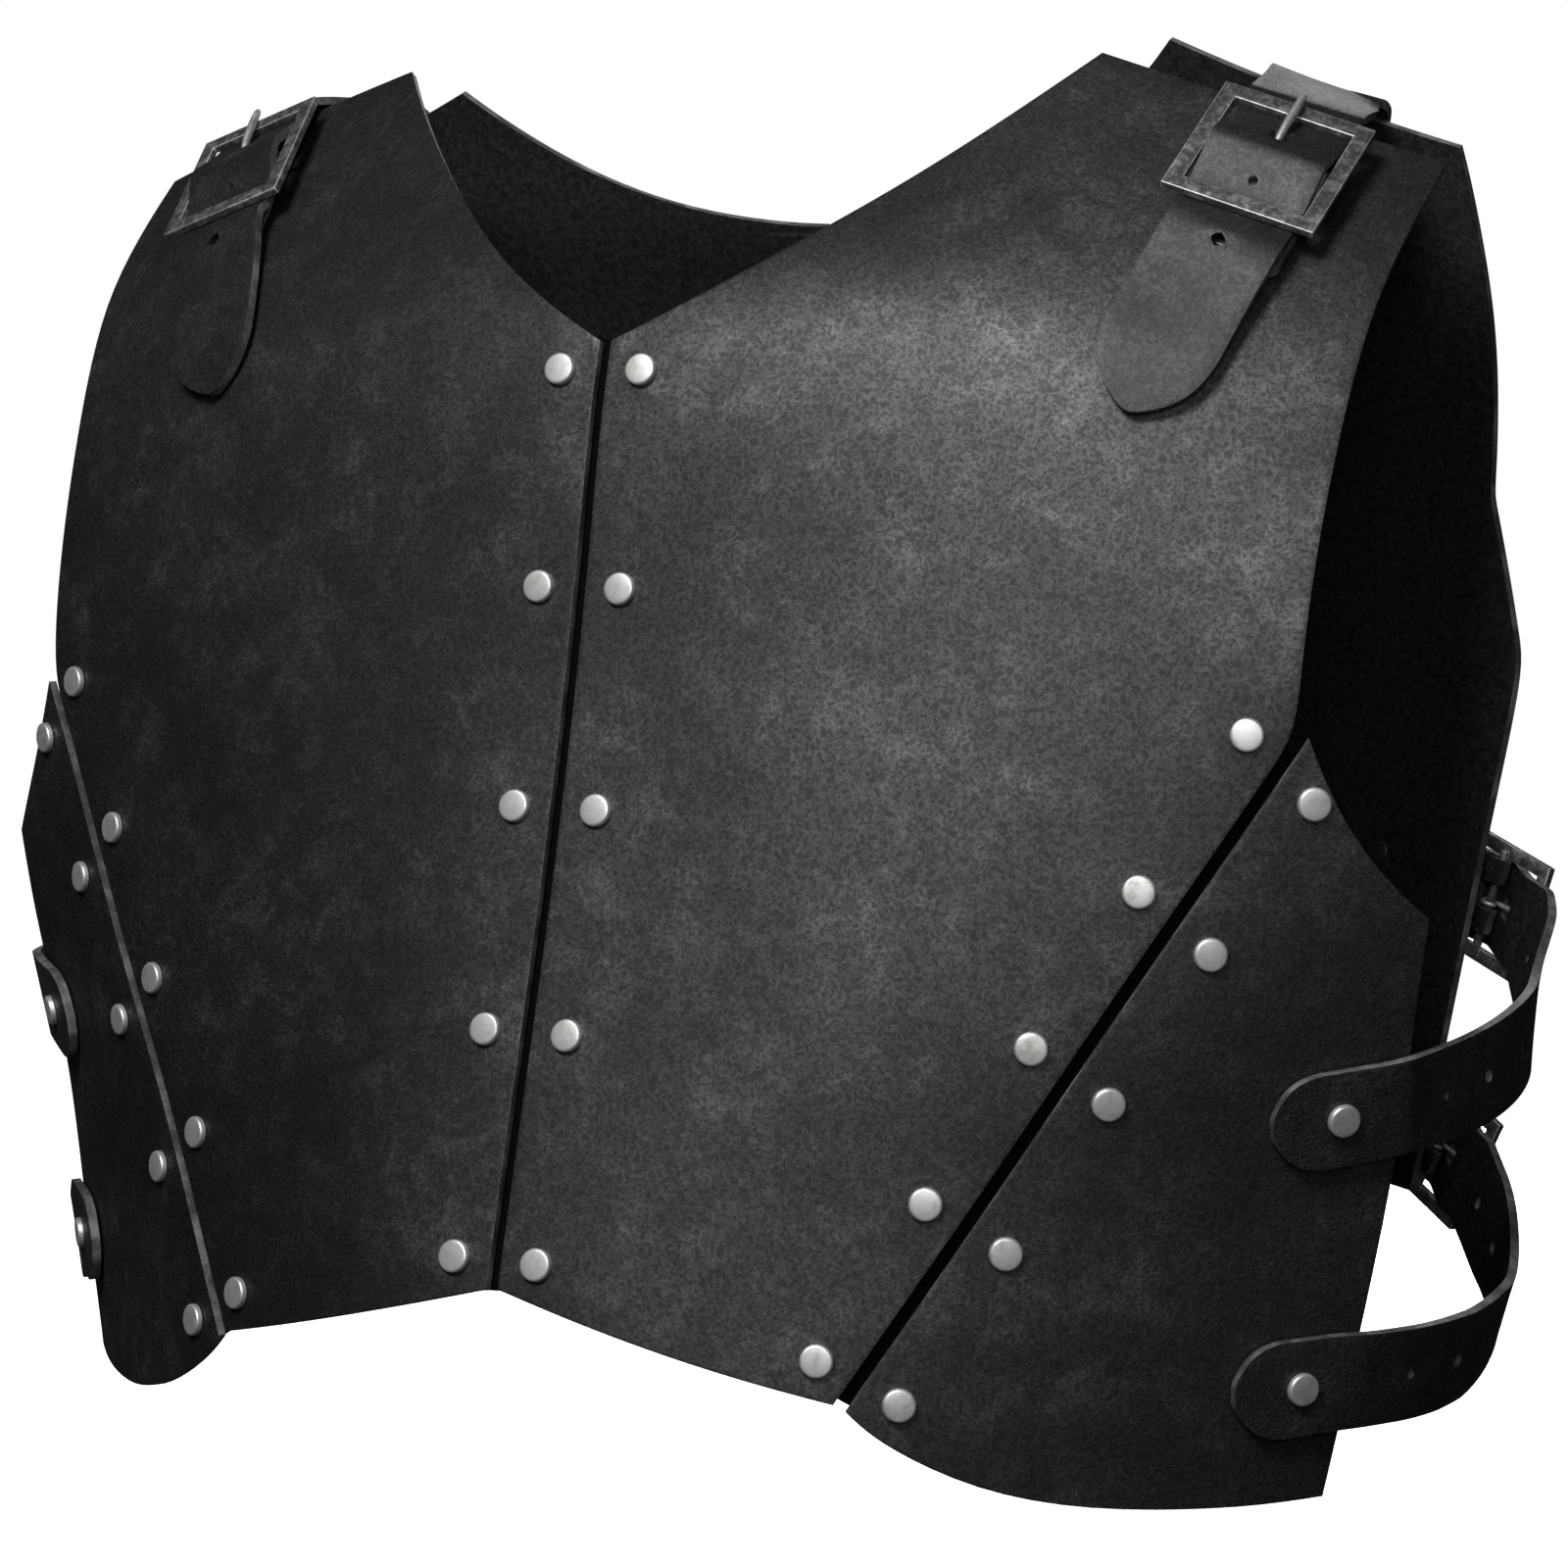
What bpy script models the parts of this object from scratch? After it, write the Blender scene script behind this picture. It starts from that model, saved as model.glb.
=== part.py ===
"""Leather chest armour: a riveted breastplate and a back plate joined by buckled straps.

The wearer faces -Y and +Z is up, so the wearer's left is +X. The origin lies in the
middle of the neck opening, at the height where the shoulder straps rest on the wearer.
Lengths below are in millimetres, and MM turns them into Blender's metres.

Each leather piece is laid out flat, as a saddler cuts it, with its rivet holes and
slots. It is then wrapped on the form of the body and given its thickness.
"""
import bpy
import bmesh
from math import atan2, cos, pi, radians, sin
from mathutils import Matrix, Vector

MM = 0.001

# ---- leather -------------------------------------------------------------------------
PANEL_THICKNESS = 2.4
STRIP_THICKNESS = 2.0
STRAP_THICKNESS = 2.6
TAB_THICKNESS = 1.0
FOLD_GAP = 0.4              # between the two layers of a folded tab
LAYER_GAP = 0.7             # between two layers of leather
SEAM_GAP = 3.5              # between two neighbouring panels

# ---- rivets --------------------------------------------------------------------------
RIVET_SIDES = 8
SHANK_RADIUS = 1.4
HOLE_RADIUS = 2.1
CAP_RADIUS = 4.1
CAP_HEIGHT = 1.7
CAP_LIFT = 0.45             # between a cap and the leather under it
INNER_CAP_RADIUS = 3.4
INNER_CAP_HEIGHT = 0.9
TAB_CAP_HEIGHT = 1.0        # the tab's rivet is flatter, because the strap runs over it
RIVETS_PER_SEAM = 5

# ---- the form of the body, as sections by height ----------------------------------------
# height: Z of the section
# middle: Y of the form at the centre line
# sweep:  how far the form has turned towards the sides, HALF_WIDTH from the centre line
# power:  how late it turns; 2 is a plain parabola and more is flatter in the middle
HALF_WIDTH = 200
FRONT_SECTIONS = [
    dict(height=14, middle=-26, sweep=66, power=2.6),
    dict(height=-30, middle=-65, sweep=50, power=2.8),
    dict(height=-60, middle=-98, sweep=48, power=2.2),
    dict(height=-85, middle=-111, sweep=45, power=2.3),
    dict(height=-150, middle=-125, sweep=36, power=2.2),
    dict(height=-200, middle=-137, sweep=45, power=2.7),
    dict(height=-250, middle=-151, sweep=61, power=2.7),
    dict(height=-300, middle=-166, sweep=86, power=2.4),
    dict(height=-350, middle=-180, sweep=106, power=2.2),
    dict(height=-395, middle=-189, sweep=122, power=2.2),
]
BACK_SECTIONS = [
    dict(height=14, middle=18, sweep=8, power=2.4),
    dict(height=-24, middle=31, sweep=3, power=2.4),
    dict(height=-44, middle=36, sweep=4, power=2.4),
    dict(height=-71, middle=51, sweep=10, power=2.4),
    dict(height=-122, middle=75, sweep=23, power=2.5),
    dict(height=-172, middle=86, sweep=31, power=2.5),
    dict(height=-220, middle=91, sweep=42, power=2.5),
    dict(height=-280, middle=90, sweep=48, power=2.5),
    dict(height=-330, middle=84, sweep=50, power=2.5),
]


def between(sections, column, height):
    """Read a column at any height, on a smooth curve through the sections."""
    last = len(sections) - 1
    i = 0
    while i < last - 1 and height < sections[i + 1]["height"]:
        i += 1

    def slope(k):
        upper = sections[max(k - 1, 0)]
        lower = sections[min(k + 1, last)]
        return (lower[column] - upper[column]) / (lower["height"] - upper["height"])

    upper, lower = sections[i], sections[i + 1]
    span = lower["height"] - upper["height"]
    s = (height - upper["height"]) / span
    return ((2 * s**3 - 3 * s**2 + 1) * upper[column] + (s**3 - 2 * s**2 + s) * span * slope(i)
            + (3 * s**2 - 2 * s**3) * lower[column] + (s**3 - s**2) * span * slope(i + 1))


class Form:
    """One half of the body: facing is -1 for the front and +1 for the back."""

    def __init__(self, sections, facing):
        self.sections = sections
        self.facing = facing

    def surface(self, x, z):
        turn = (abs(x) / HALF_WIDTH) ** between(self.sections, "power", z)
        sweep = between(self.sections, "sweep", z) * turn
        return Vector((x, between(self.sections, "middle", z) - self.facing * sweep, z))

    def outward(self, x, z):
        across = self.surface(x + 1, z) - self.surface(x - 1, z)
        up = self.surface(x, z + 1) - self.surface(x, z - 1)
        normal = across.cross(up).normalized()
        return normal if normal.y * self.facing > 0 else -normal

    def place(self, x, z, lift=0.0):
        """A point lifted off the form, and the outward direction there."""
        out = self.outward(x, z)
        return self.surface(x, z) + out * lift, out

    def run(self, start, heading, distance):
        """Walk over the form from start, in the XZ heading, for a length of leather."""
        step = Vector(heading).normalized()
        at = Vector(start)
        left = abs(distance)
        sign = 1 if distance >= 0 else -1
        while left > 1e-6:
            ahead = at + step * sign
            length = (self.surface(*ahead) - self.surface(*at)).length
            part = min(1.0, left / length)
            at += step * sign * part
            left -= length * part
        return at


FRONT = Form(FRONT_SECTIONS, -1)
BACK = Form(BACK_SECTIONS, 1)

# ---- outlines, in X and Z on the wearer's left ------------------------------------------
HALF_GAP = SEAM_GAP / 2

NECK_POINT = Vector((HALF_GAP, -78))
NECK_BEND = Vector((62, -49))
SHOULDER_INNER = Vector((111, 1))
SHOULDER_OUTER = Vector((206, -30))
ARMHOLE_BEND = Vector((197, -88))
SEAM_TOP = Vector((196.2, -179))
SEAM_FOOT = Vector((95.2, -353))
HEM_POINT = Vector((HALF_GAP, -328))
SIDE_ARMHOLE_BEND = Vector((206, -208))
SIDE_REAR = Vector((224, -228))
SIDE_EDGE_BEND = Vector((213, -305))
SIDE_FOOT = Vector((197, -385.5))
SIDE_HEM_BEND = Vector((128, -389))

BACK_NECK = Vector((HALF_GAP, -44))
BACK_NECK_BEND = Vector((70, -44))
BACK_SHOULDER_INNER = Vector((115, 7.5))
BACK_SHOULDER_OUTER = Vector((198, -24))
BACK_SHOULDER_SAG = Vector((0, -3.2))        # its top edge dips between the corners
RIGHT_SHOULDER_SHIFT = Vector((5, -10))         # the back hangs lower on the right shoulder
BACK_ARMHOLE_BEND = Vector((209, -70))
BACK_ARMHOLE_CORNER = Vector((202, -122))
BACK_SIDE_REAR = Vector((212, -172))
BACK_SIDE_FOOT = Vector((184, -325))
BACK_HEM = Vector((HALF_GAP, -312))

SEAM_DOWN = (SEAM_FOOT - SEAM_TOP).normalized()
SEAM_INWARD = Vector((SEAM_DOWN.y, -SEAM_DOWN.x))       # towards the centre line
SEAM_LENGTH = (SEAM_FOOT - SEAM_TOP).length


def line(a, b):
    return lambda t: a + (b - a) * t


def bow(a, bend, b):
    return lambda t: a * (1 - t)**2 + bend * 2 * t * (1 - t) + b * t**2


def chain(first, second):
    """Two curves end to end, joined at t = 0.5."""
    return lambda t: first(2 * t) if t <= 0.5 else second(2 * t - 1)


def chest_edges():
    top = SEAM_TOP + SEAM_INWARD * HALF_GAP
    foot = SEAM_FOOT + SEAM_INWARD * HALF_GAP
    left = chain(line(HEM_POINT, NECK_POINT), bow(NECK_POINT, NECK_BEND, SHOULDER_INNER))
    right = chain(line(foot, top), bow(top, ARMHOLE_BEND, SHOULDER_OUTER))
    return left, right, line(HEM_POINT, foot), line(SHOULDER_INNER, SHOULDER_OUTER)


def side_edges():
    top = SEAM_TOP - SEAM_INWARD * HALF_GAP
    foot = SEAM_FOOT - SEAM_INWARD * HALF_GAP
    right = bow(SIDE_FOOT, SIDE_EDGE_BEND, SIDE_REAR)
    hem, armhole = bow(foot, SIDE_HEM_BEND, SIDE_FOOT), bow(top, SIDE_ARMHOLE_BEND, SIDE_REAR)
    return line(foot, top), right, hem, armhole


def back_edges(mirrored):
    shift = RIGHT_SHOULDER_SHIFT if mirrored else Vector((0, 0))
    inner, outer = BACK_SHOULDER_INNER + shift, BACK_SHOULDER_OUTER + shift
    neck = bow(BACK_NECK, BACK_NECK_BEND, inner)
    flare = line(BACK_SIDE_REAR, BACK_ARMHOLE_CORNER)
    armhole = bow(BACK_ARMHOLE_CORNER, BACK_ARMHOLE_BEND, outer)
    left = chain(line(BACK_HEM, BACK_NECK), neck)
    right = chain(chain(line(BACK_SIDE_FOOT, BACK_SIDE_REAR), flare), armhole)
    shoulder = bow(inner, (inner + outer) / 2 + BACK_SHOULDER_SAG, outer)
    return left, right, line(BACK_HEM, BACK_SIDE_FOOT), shoulder


# ---- flat layouts -----------------------------------------------------------------------
def grid(columns, rows, spot):
    """A flat sheet of quads. spot(column, row) gives each corner's two coordinates."""
    bm = bmesh.new()
    bmesh.ops.create_grid(bm, x_segments=columns, y_segments=rows, size=0.5)
    for vert in bm.verts:
        column = round((vert.co.x + 0.5) * columns)
        row = round((vert.co.y + 0.5) * rows)
        x, y = spot(column, row)
        vert.co = (x, y, 0)
    return bm


def lines(length, near, count, far):
    """Lines across a length, as fractions of it: at the near distances from its start,
    at the far distances from its end, and count equal parts between them."""
    start, stop = near[-1], length - far[-1]
    marks = [0, *near] + [start + (stop - start) * k / count for k in range(1, count)]
    marks += [length - d for d in reversed(far)] + [length]
    return [mark / length for mark in marks]


def panel_layout(edges, rows, columns, edge_lines):
    """Fill an outline with quads. rows are the fractions up its left and right edges.
    edge_lines are the first columns' distances in from each side, which rivets follow."""
    left, right, bottom, top = edges

    def spot(column, row):
        v = rows[row]
        u = lines((right(v) - left(v)).length, edge_lines, columns, edge_lines)[column]
        corners = ((bottom(0) * (1 - u) + bottom(1) * u) * (1 - v)
                   + (top(0) * (1 - u) + top(1) * u) * v)
        return bottom(u) * (1 - v) + top(u) * v + left(v) * (1 - u) + right(v) * u - corners

    return grid(columns + 2 * len(edge_lines), len(rows) - 1, spot)


def two_part_rows(lower, upper):
    """Rows for an outline whose sides are chains of two curves."""
    return [v / 2 for v in lower] + [0.5 + v / 2 for v in upper[1:]]


def punch(bm, places, radius=HOLE_RADIUS, through=True):
    """Draw the nearest inner quad over to each place and cut a round hole in it, or
    keep the round face there for a rivet to grow from."""
    reach = 24.0
    for place in places:
        spot = Vector((place[0], place[1], 0))
        inner = [f for f in bm.faces if len(f.verts) == 4 and not any(v.is_boundary for v in f.verts)]
        cell = min(inner, key=lambda f: (f.calc_center_median() - spot).length)
        middle = cell.calc_center_median()
        for vert in bm.verts:
            away = max((vert.co - middle).length - 8.0, 0) / reach
            if away < 1 and not vert.is_boundary:
                vert.co += (spot - middle) * (1 - away)**2
        bmesh.ops.inset_individual(bm, faces=[cell], thickness=radius * 0.3)
        bmesh.ops.subdivide_edges(bm, edges=cell.edges[:], cuts=1)
        ring = min((f for f in bm.faces if len(f.verts) == RIVET_SIDES),
                   key=lambda f: (f.calc_center_bounds() - spot).length)
        corners = list(ring.verts)
        if ring.normal.z < 0:
            corners.reverse()
        towards = corners[0].co - spot
        first = atan2(towards.y, towards.x)
        for k, vert in enumerate(corners):
            a = first + 2 * pi * k / RIVET_SIDES
            vert.co = spot + Vector((cos(a), sin(a), 0)) * radius
        if through:
            bmesh.ops.delete(bm, geom=[ring], context="FACES_ONLY")


def wrap(bm, place):
    """Put the flat sheet in place. place(a, b) gives a point and the outward direction."""
    layer = bm.verts.layers.float_vector.new("out")
    for vert in bm.verts:
        vert.co, vert[layer] = place(vert.co.x, vert.co.y)


def face_outwards(bm):
    bmesh.ops.recalc_face_normals(bm, faces=bm.faces[:])
    if bm.calc_volume(signed=True) < 0:
        bmesh.ops.reverse_faces(bm, faces=bm.faces[:])


def thicken(bm, thickness):
    """Give the sheet its thickness, inwards from the face that was wrapped."""
    layer = bm.verts.layers.float_vector["out"]
    made = bmesh.ops.extrude_face_region(bm, geom=bm.faces[:], use_keep_orig=True)
    for item in made["geom"]:
        if isinstance(item, bmesh.types.BMVert):
            item.co -= item[layer] * thickness
    face_outwards(bm)


def grow(bm, face, steps):
    """Turn a round stud out of a face: steps of radius and height above the face."""
    centre = face.calc_center_median()
    axis = face.normal.copy()
    for radius, height in steps:
        made = bmesh.ops.extrude_discrete_faces(bm, faces=[face])
        face = made["faces"][0]
        for vert in face.verts:
            flat = vert.co - centre
            flat -= axis * flat.dot(axis)
            vert.co = centre + flat.normalized() * radius + axis * height


def cap_steps(lift, radius, height):
    """A rivet's cap: a low dome, wider than its shank."""
    return [(SHANK_RADIUS, lift), (radius, lift), (0.6 * radius, lift + height)]


def inner_cap_steps():
    """The flat cap on a rivet's inner end."""
    return [(SHANK_RADIUS, CAP_LIFT), (INNER_CAP_RADIUS, CAP_LIFT),
            (0.75 * INNER_CAP_RADIUS, CAP_LIFT + INNER_CAP_HEIGHT)]


# ---- making objects ------------------------------------------------------------------------
def material(name, colour, roughness, metallic=0.0):
    made = bpy.data.materials.new(name)
    made.use_nodes = True
    shader = made.node_tree.nodes["Principled BSDF"]
    shader.inputs["Base Color"].default_value = (*colour, 1)
    shader.inputs["Roughness"].default_value = roughness
    shader.inputs["Metallic"].default_value = metallic
    made.diffuse_color = (*colour, 1)
    return made


def finish(bm, name, look, mirrored=False, smooth=False):
    """Scale a mesh to metres and make it an object. The wearer's right is mirrored."""
    side = -1 if mirrored else 1
    bmesh.ops.scale(bm, vec=(side * MM, MM, MM), verts=bm.verts[:])
    if mirrored:
        bmesh.ops.reverse_faces(bm, faces=bm.faces[:])
    mesh = bpy.data.meshes.new(name)
    bm.to_mesh(mesh)
    bm.free()
    mesh.materials.append(look)
    if smooth:
        mesh.shade_smooth()
        mesh.set_sharp_from_angle(angle=radians(35))
    made = bpy.data.objects.new(name, mesh)
    bpy.context.scene.collection.objects.link(made)
    return made


def both_sides(build, name):
    """Build a piece on the wearer's left and again, mirrored, on the right."""
    build(name + "_left", False)
    build(name + "_right", True)


# ---- rivet places ---------------------------------------------------------------------------
CENTRE_RIVET_INSET = 12.5       # from the centre line
SEAM_RIVET_INSET = 11.4         # from the middle of a diagonal seam


def front_centre_rivets():
    first, spacing = -86.0, 58.7
    return [Vector((CENTRE_RIVET_INSET, first - spacing * k)) for k in range(RIVETS_PER_SEAM)]


def back_centre_rivets():
    first, spacing = -53.0, 62.0
    return [Vector((CENTRE_RIVET_INSET, first - spacing * k)) for k in range(RIVETS_PER_SEAM)]


def seam_rivets(side):
    """side is +1 on the chest panel and -1 on the side panel."""
    first, spacing = (6.5, 46.8) if side > 0 else (14.0, 44.9)
    row = SEAM_TOP + SEAM_INWARD * SEAM_RIVET_INSET * side
    return [row + SEAM_DOWN * (first + spacing * k) for k in range(RIVETS_PER_SEAM)]


# ---- straps and buckles -----------------------------------------------------------------------
FRAME_LIFT = 7.8            # middle of a buckle's frame above the panel
FRAME_THICKNESS = 2.2
BAR_DROP = 1.4              # the centre bar sits this much lower than the frame's middle
BAR_RADIUS = 1.3
LOOP_GAP = 0.4
PRONG_RADIUS = 1.5
PRONG_LOOP_RADIUS = 0.8      # where the prong's wire goes round the bar
OVER_BAR = 3.6              # strap's middle above the frame's middle, over the bar
UNDER_RAIL = -2.8           # strap's middle above the frame's middle, under a rail
STRAP_LIFT = LAYER_GAP + STRAP_THICKNESS / 2
TIP_LENGTH = 1.25           # of a strap's pointed tip, in half widths of the strap


class Fastening:
    """A strap with its buckle. The buckle's centre bar stands over the point bar_at of
    a form, and the strap's free end runs on from it in the XZ heading."""

    def __init__(self, name, form, bar_at, heading, width, opening, rail, tab_rivet, tail, turn,
                 lead, dip):
        self.name = name
        self.form = form
        self.bar_at = Vector(bar_at)
        self.heading = Vector(heading).normalized()
        self.width = width
        self.opening = opening          # inside of the frame, across the strap
        self.rail = rail                # width of the frame's rails
        self.tab_rivet = tab_rivet      # from the bar to the tab's rivet
        self.tail = tail                # from the bar to the strap's tip
        self.turn = Matrix.Rotation(radians(turn), 2)       # of the tail, towards the neck
        self.lead, self.dip = lead, dip         # where the strap is lowest before the buckle
        self.reach = opening / 2 + rail / 2     # from the bar to the middle of an end rail
        _, self.out = form.place(*self.bar_at)
        ahead = form.surface(*form.run(bar_at, heading, 8)) - form.surface(*form.run(bar_at, heading, -8))
        self.along = (ahead - self.out * ahead.dot(self.out)).normalized()
        self.across = self.out.cross(self.along)
        self.centre = form.surface(*self.bar_at) + self.out * FRAME_LIFT

    def local(self, along, across, out):
        """A point given from the middle of the buckle's frame."""
        return self.centre + self.along * along + self.across * across + self.out * out

    def on_form(self, distance, lift):
        return self.form.place(*self.form.run(self.bar_at, self.heading, distance), lift)

    def on_tail(self, distance, lift):
        """Past the tab's rivet the strap's tail bends a little to the side."""
        knee = self.form.run(self.bar_at, self.heading, self.tab_rivet - 3)
        heading = self.turn @ self.heading
        return self.form.place(*self.form.run(knee, heading, distance - self.tab_rivet + 3), lift)

    def at_buckle(self, along, out):
        return self.local(along, 0, out), self.out


def smooth_route(points, step=1.0):
    """Points close together on a smooth curve through the route's own points, each
    with the outward direction there."""
    dense = []
    for i in range(len(points) - 1):
        before, a, b, after = (points[max(i - 1, 0)], points[i], points[i + 1],
                               points[min(i + 2, len(points) - 1)])
        span = (b[0] - a[0]).length
        count = max(2, round(span / step))
        slope_a = (b[0] - before[0]) * span / ((a[0] - before[0]).length + span)
        slope_b = (after[0] - a[0]) * span / (span + (after[0] - b[0]).length)
        for k in range(count):
            s = k / count
            spot = (a[0] * (2 * s**3 - 3 * s**2 + 1) + slope_a * (s**3 - 2 * s**2 + s)
                    + b[0] * (3 * s**2 - 2 * s**3) + slope_b * (s**3 - s**2))
            dense.append((spot, a[1].lerp(b[1], s).normalized()))
    dense.append(points[-1])
    return dense


class Ribbon:
    """A flat strap along a route: place(distance, across) gives its outer face."""

    def __init__(self, points, thickness):
        self.thickness = thickness
        self.dense = smooth_route(points)
        self.lengths = [0.0]
        for (a, _), (b, _) in zip(self.dense, self.dense[1:]):
            self.lengths.append(self.lengths[-1] + (b - a).length)
        self.length = self.lengths[-1]
        widths = [out.cross(self.tangent(i)).normalized() for i, (_, out) in enumerate(self.dense)]
        calm = 6            # points on either side that a turn in the strap's own plane spreads over
        self.widths = [sum(widths[max(i - calm, 0):i + calm + 1], Vector()).normalized()
                       for i in range(len(widths))]

    def tangent(self, i):
        low, high = max(i - 1, 0), min(i + 2, len(self.dense) - 1)
        return (self.dense[high][0] - self.dense[low][0]).normalized()

    def distance_of(self, spot):
        near = min(range(len(self.dense)), key=lambda i: (self.dense[i][0] - spot).length)
        return self.lengths[near]

    def bends(self, turn=radians(13), longest=15.0):
        """Distances at which the route has turned by a small angle since the last one."""
        found, turned = [0.0], 0.0
        for i in range(1, len(self.dense) - 1):
            (a, _), (b, _), (c, _) = self.dense[i - 1:i + 2]
            turned += (b - a).angle(c - b)
            if turned > turn or self.lengths[i] - found[-1] > longest:
                found.append(self.lengths[i])
                turned = 0.0
        return found[1:]

    def place(self, distance, across):
        i = 0
        while i < len(self.lengths) - 2 and self.lengths[i + 1] < distance:
            i += 1
        a, b = self.dense[i][0], self.dense[i + 1][0]
        s = (distance - self.lengths[i]) / (self.lengths[i + 1] - self.lengths[i])
        width = self.widths[i].lerp(self.widths[i + 1], s)
        out = self.tangent(i).cross(width).normalized()
        return a.lerp(b, s) + width * across + out * self.thickness / 2, out


def strap_layout(length, half, stops, start_round, end_round, pointed=False):
    """A flat strap: three columns, rows at the stops, and rounded ends, which can be
    pointed arches instead."""
    ends = {0.0, length}
    arc_steps = 4
    for rounding, corner, inward in ((start_round, 0.0, 1), (end_round, length, -1)):
        for k in range(1, arc_steps + 1):
            ends.add(corner + inward * rounding * (1 - cos(k * pi / 2 / arc_steps)))
    rows = sorted(ends | set(stops))

    def half_at(s):
        for size, inside, bluntness in ((start_round, s, 0.22), (end_round, length - s, 0.06)):
            if inside >= size:
                continue
            if not pointed:
                return max(half * sin(pi / 2 * (inside / size)**0.5), 0.22 * half)
            bow_radius = (half**2 + size**2) / (2 * half)
            bow_height = (bow_radius**2 - (size - inside)**2)**0.5
            return max(half - bow_radius + bow_height, bluntness * half)
        return half

    column_half = 4.0

    def spot(column, row):
        edge = half_at(rows[row])
        inner = min(column_half, edge * 0.5)
        return rows[row], (-edge, -inner, inner, edge)[column]

    return grid(3, len(rows) - 1, lambda c, r: spot(c, r)), rows


def open_cells(bm, start, stop):
    """Leave out the middle column between two distances, as a slot."""
    gone = [f for f in bm.faces if start < f.calc_center_median().x < stop
            and abs(f.calc_center_median().y) < 0.5]
    bmesh.ops.delete(bm, geom=gone, context="FACES_ONLY")


def spaced(start, stop, step):
    count = max(1, round((stop - start) / step))
    return [start + (stop - start) * k / count for k in range(1, count)]


def build_strap(name, mirrored, look, ribbon, width, holes, rivet, slot):
    """holes and rivet are distances along the strap; slot is where the prong passes."""
    length, half = ribbon.length, width / 2
    point = TIP_LENGTH * half
    marks = sorted([rivet] + holes)
    stops = set(slot)
    for mark in marks:
        stops |= {mark - 4.5, mark + 4.5}
    fixed = sorted(stops | {half, length - point})
    stops |= {bend for bend in ribbon.bends() if half < bend < length - point
              and all(abs(bend - stop) > 1.8 for stop in fixed)
              and all(abs(bend - mark) > 4.5 for mark in marks)}
    bm, _ = strap_layout(length, half, stops, half, point, pointed=True)
    open_cells(bm, *slot)
    punch(bm, [(mark, 0) for mark in marks])
    wrap(bm, ribbon.place)
    thicken(bm, STRAP_THICKNESS)
    return finish(bm, name, look, mirrored)


def build_frame(fast, name, mirrored, look):
    """A flat square frame with its centre bar soldered to the underside of the rails."""
    outer = fast.opening + 2 * fast.rail
    bm = bmesh.new()
    bmesh.ops.create_grid(bm, x_segments=1, y_segments=1, size=outer / 2)
    bmesh.ops.inset_region(bm, faces=bm.faces[:], thickness=fast.rail,
                           use_boundary=True, use_even_offset=True)
    window = min(bm.faces, key=lambda f: f.calc_center_median().length)
    bmesh.ops.delete(bm, geom=[window], context="FACES_ONLY")
    made = bmesh.ops.extrude_face_region(bm, geom=bm.faces[:], use_keep_orig=True)
    lifted = [v for v in made["geom"] if isinstance(v, bmesh.types.BMVert)]
    bmesh.ops.translate(bm, verts=lifted, vec=(0, 0, FRAME_THICKNESS))
    bmesh.ops.translate(bm, verts=bm.verts[:], vec=(0, 0, -FRAME_THICKNESS / 2))
    face_outwards(bm)
    seat = Matrix((fast.along, fast.across, fast.out)).transposed().to_4x4()
    seat.translation = fast.centre
    bmesh.ops.transform(bm, matrix=seat, verts=bm.verts[:])
    frame = finish(bm, name, look, mirrored)

    bar = bmesh.new()
    bmesh.ops.create_cone(bar, cap_ends=True, segments=8, radius1=BAR_RADIUS, radius2=BAR_RADIUS,
                          depth=fast.opening + fast.rail)
    turn = Matrix.Rotation(pi / 2, 4, "X")
    bmesh.ops.transform(bar, matrix=Matrix.Translation((0, 0, -BAR_DROP)) @ turn, verts=bar.verts[:])
    bmesh.ops.transform(bar, matrix=seat, verts=bar.verts[:])
    helper = finish(bar, name + "_bar", look, mirrored)
    helper.hide_render = True
    helper.display_type = "WIRE"
    union = frame.modifiers.new("bar", "BOOLEAN")
    union.operation = "UNION"
    union.solver = "EXACT"
    union.object = helper


def build_prong(fast, name, mirrored, look):
    """A wire that loops round the centre bar, passes up through the strap's slot and
    rests across the end rail."""
    loop = BAR_RADIUS + LOOP_GAP + PRONG_LOOP_RADIUS
    path = []
    for degrees in range(175, 440, 44):
        a = radians(degrees)
        path.append((loop * cos(a), loop * sin(a) - BAR_DROP, PRONG_LOOP_RADIUS))
    rest = FRAME_THICKNESS / 2 + LOOP_GAP + PRONG_RADIUS
    tip = -fast.reach - fast.rail / 2 - 1.4
    path += [(-3.2, 0.9, 0.9), (-6.0, 1.7, 1.25), (-10.0, rest - 0.4, PRONG_RADIUS),
             (-fast.reach, rest, PRONG_RADIUS), (tip, rest - 0.1, 0.9 * PRONG_RADIUS),
             (tip - 1.2, rest - 0.2, 0.45 * PRONG_RADIUS)]
    curve = bpy.data.curves.new(name, "CURVE")
    curve.dimensions = "3D"
    curve.bevel_depth = MM
    curve.bevel_resolution = 1
    curve.render_resolution_u = 0
    curve.use_fill_caps = True
    spline = curve.splines.new("POLY")
    spline.points.add(len(path) - 1)
    side = -1 if mirrored else 1
    for point, (along, out, thick) in zip(spline.points, path):
        spot = fast.local(along, 0, out) * MM
        point.co = (side * spot.x, spot.y, spot.z, 1)
        point.radius = thick
    curve.materials.append(look)
    made = bpy.data.objects.new(name, curve)
    bpy.context.scene.collection.objects.link(made)


TAB_LOWER = LAYER_GAP + TAB_THICKNESS / 2
TAB_UPPER = TAB_LOWER + TAB_THICKNESS + FOLD_GAP
TAB_TOP = TAB_UPPER + TAB_THICKNESS / 2
TAB_NARROWER = 1.9          # than the strap, on each side
TAB_SHIFT = 2.2             # to the side away from the neck
TAB_RISE = 12.0             # from the bar to where the folded tab leaves the panel
TAB_END = 8.5               # from the tab's rivet to its end


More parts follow.
